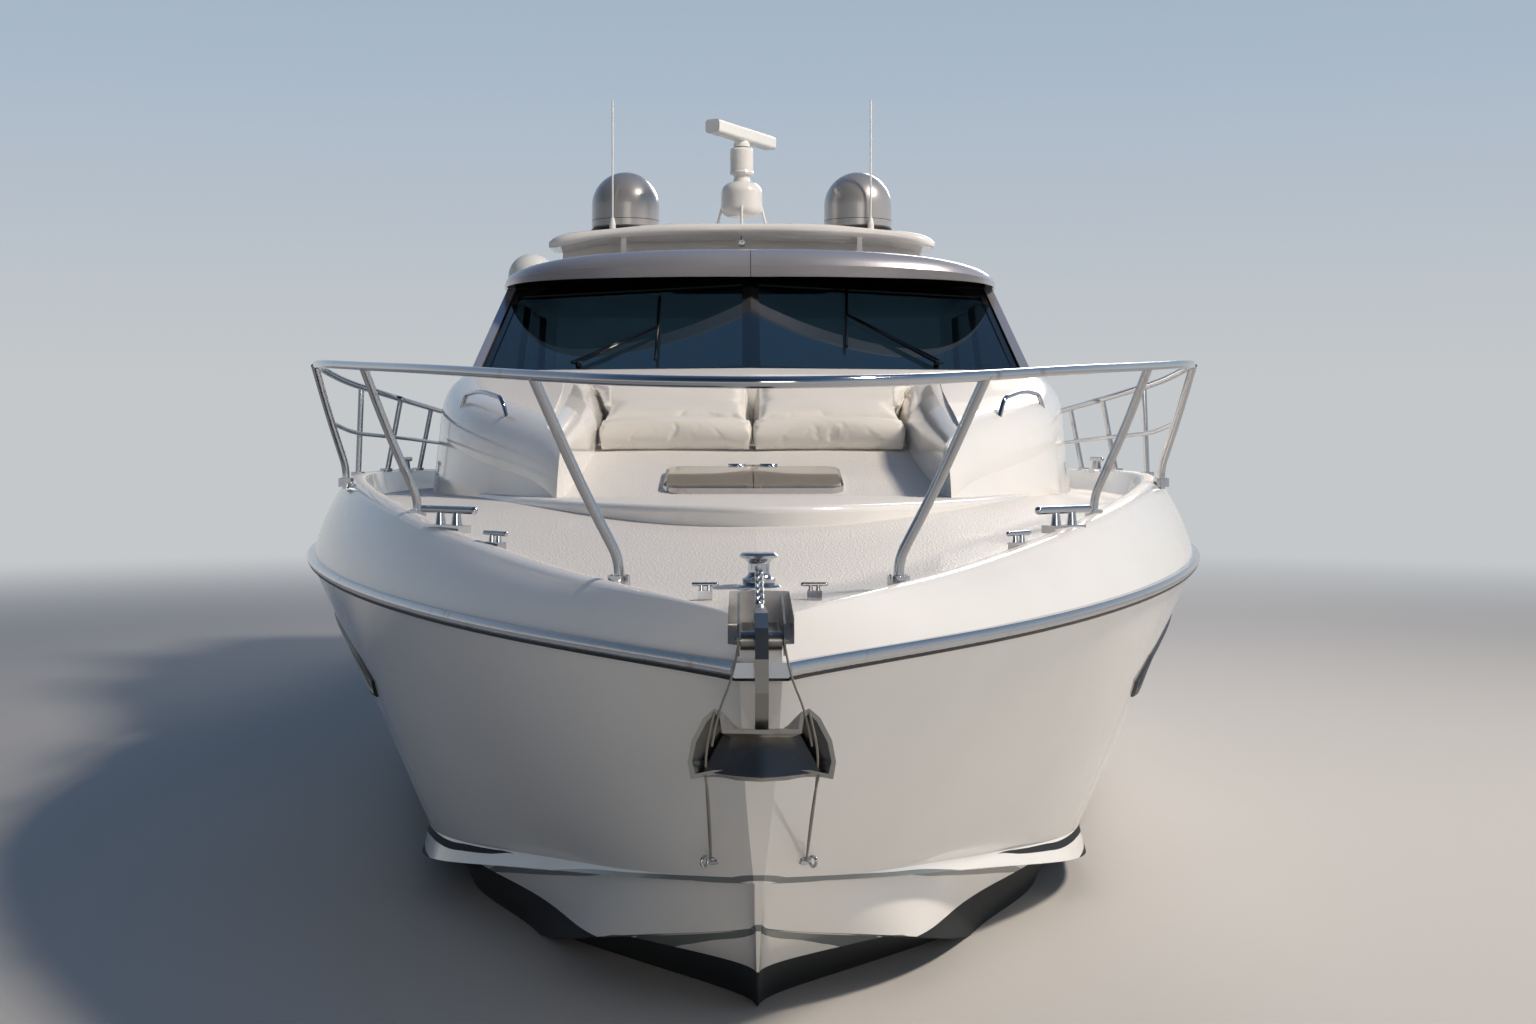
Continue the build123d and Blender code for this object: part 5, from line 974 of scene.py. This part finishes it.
# %% Rail bolts
# x, station of the feet of the port side
RAIL_FEET = [(0.440, 0.760), (1.350, 2.330), (1.905, 3.600)]
BOLT_CIRCLE = 0.028
head = start("uv_sphere", (0, 0, 0), (1, 1, 0.5), segments=10, ring_count=6, radius=0.0055)
spots = []
for side in (1, -1):
    for x, station in RAIL_FEET:
        for turn in (30, 150, 270):
            away = (BOLT_CIRCLE * cos(radians(turn)), BOLT_CIRCLE * sin(radians(turn)))
            spot = (side * x + away[0], aft(station) + away[1], 2.1)
            spots.append(seat_on("deck_rails", spot, (0, 0, -1))[0])
head.location = spots[0]
head = many(head, spots)
hand_over(head, "rail_bolts", steel, smooth=60)
print("bolts:", len(spots))

# %% [markdown]
# ## The floor
# The boat is judged on its own, on a pale studio floor at the waterline under a plain sky. Far out the
# floor glows in the colour of the horizon, so that no edge shows where the two meet.

# %% Floor
HORIZON_TONE = "#C5C8CA"
clear_selection()
bpy.ops.mesh.primitive_plane_add(size=600, location=(0, 0, 0))
floor = bpy.context.object
floor.name = "studio_floor"
floor_finish, tree, shader, place = new_finish("floor_pale_matt", Roughness=0.7, Base_Color=linear("#BDBBB8"))
glow = add(tree, "ShaderNodeEmission", {"Color": linear(HORIZON_TONE), "Strength": 1.0})
reach = add(tree, "ShaderNodeVectorMath", {0: place}, operation="LENGTH")
share = add(tree, "ShaderNodeMapRange", {"Value": reach.outputs["Value"], "From Min": 9.0, "From Max": 23.0},
            interpolation_type="SMOOTHSTEP")
both = add(tree, "ShaderNodeMixShader", {0: share.outputs["Result"], 1: shader.outputs[0],
                                         2: glow.outputs[0]})
tree.links.new(both.outputs[0], tree.nodes["Material Output"].inputs["Surface"])
floor.data.materials.append(floor_finish)
print("floor at z = 0, horizon", HORIZON_TONE)

# %% [markdown]
# ## Sky and lamps
# Polished steel is only as lively as what it mirrors, so the sky deepens from a pale horizon to blue
# overhead, and it is darker ahead and to starboard, away from the sun: the steel gets its dark bands from
# there and the shaded side its depth. The key lamp stands high on the port side, where the sunlight comes
# from: the deck is bright and the flared topsides lie in soft shade.

# %% World and lamps
world = bpy.data.worlds.new("studio_sky")
bpy.context.scene.world = world
world.use_nodes = True
sky = world.node_tree
view = add(sky, "ShaderNodeTexCoord").outputs["Generated"]
part = add(sky, "ShaderNodeSeparateXYZ", {"Vector": view})
skies = []
# tones at the horizon, at 12 degrees and at 45 degrees up, on the sunny and on the shaded side
for low, middle, high in ((HORIZON_TONE, "#A9B9CA", "#4A6A92"), ("#8C949C", "#424F5E", "#262F3B")):
    ramp = add(sky, "ShaderNodeValToRGB", {"Fac": part.outputs["Z"]})
    ramp.color_ramp.elements[0].color = linear(low)
    ramp.color_ramp.elements[0].position = 0.03
    ramp.color_ramp.elements[1].color = linear(high)
    ramp.color_ramp.elements[1].position = 0.70
    ramp.color_ramp.elements.new(0.20).color = linear(middle)
    skies.append(ramp.outputs["Color"])
# 1 towards the sun and aft, falling to 0 ahead and to starboard
sunny = add(sky, "ShaderNodeVectorMath", {0: view, 1: (0.55, 0.83, 0.0)}, operation="DOT_PRODUCT")
sunny = add(sky, "ShaderNodeMapRange", {"Value": sunny.outputs["Value"], "From Min": -0.75, "From Max": 0.40},
            interpolation_type="SMOOTHSTEP")
tone = add(sky, "ShaderNodeMix", {"Factor": sunny.outputs["Result"], 6: skies[1], 7: skies[0]},
           data_type="RGBA")
sky.links.new(tone.outputs[2], sky.nodes["Background"].inputs["Color"])
sky.nodes["Background"].inputs["Strength"].default_value = 1.0

# name, place, aim, width, height, power, colour
LAMPS = [
    ("key_port_high", (11.0, -5.0, 14.0), (0.0, -4.5, 1.5), 2.2, 2.2, 2700, "#FFF2E2"),
    ("fill_ahead", (3.0, -19.0, 4.0), (0.0, -6.0, 1.2), 6.0, 3.0, 280, "#FFF6EC"),
    ("rim_stern", (6.0, 17.0, 10.0), (0.0, 3.0, 1.5), 6.0, 5.0, 700, "#FFF6EC"),
]
for name, spot, aim, width, height, power, colour in LAMPS:
    facing = (Vector(aim) - Vector(spot)).to_track_quat("-Z", "Y").to_euler()
    bpy.ops.object.light_add(type="AREA", location=spot, rotation=facing)
    lamp = bpy.context.object
    lamp.name = name
    lamp.data.shape = "RECTANGLE"
    lamp.data.size = width
    lamp.data.size_y = height
    lamp.data.energy = power
    lamp.data.color = linear(colour)[:3]
bpy.context.scene.view_settings.view_transform = "Standard"
print("lamps:", [row[0] for row in LAMPS])
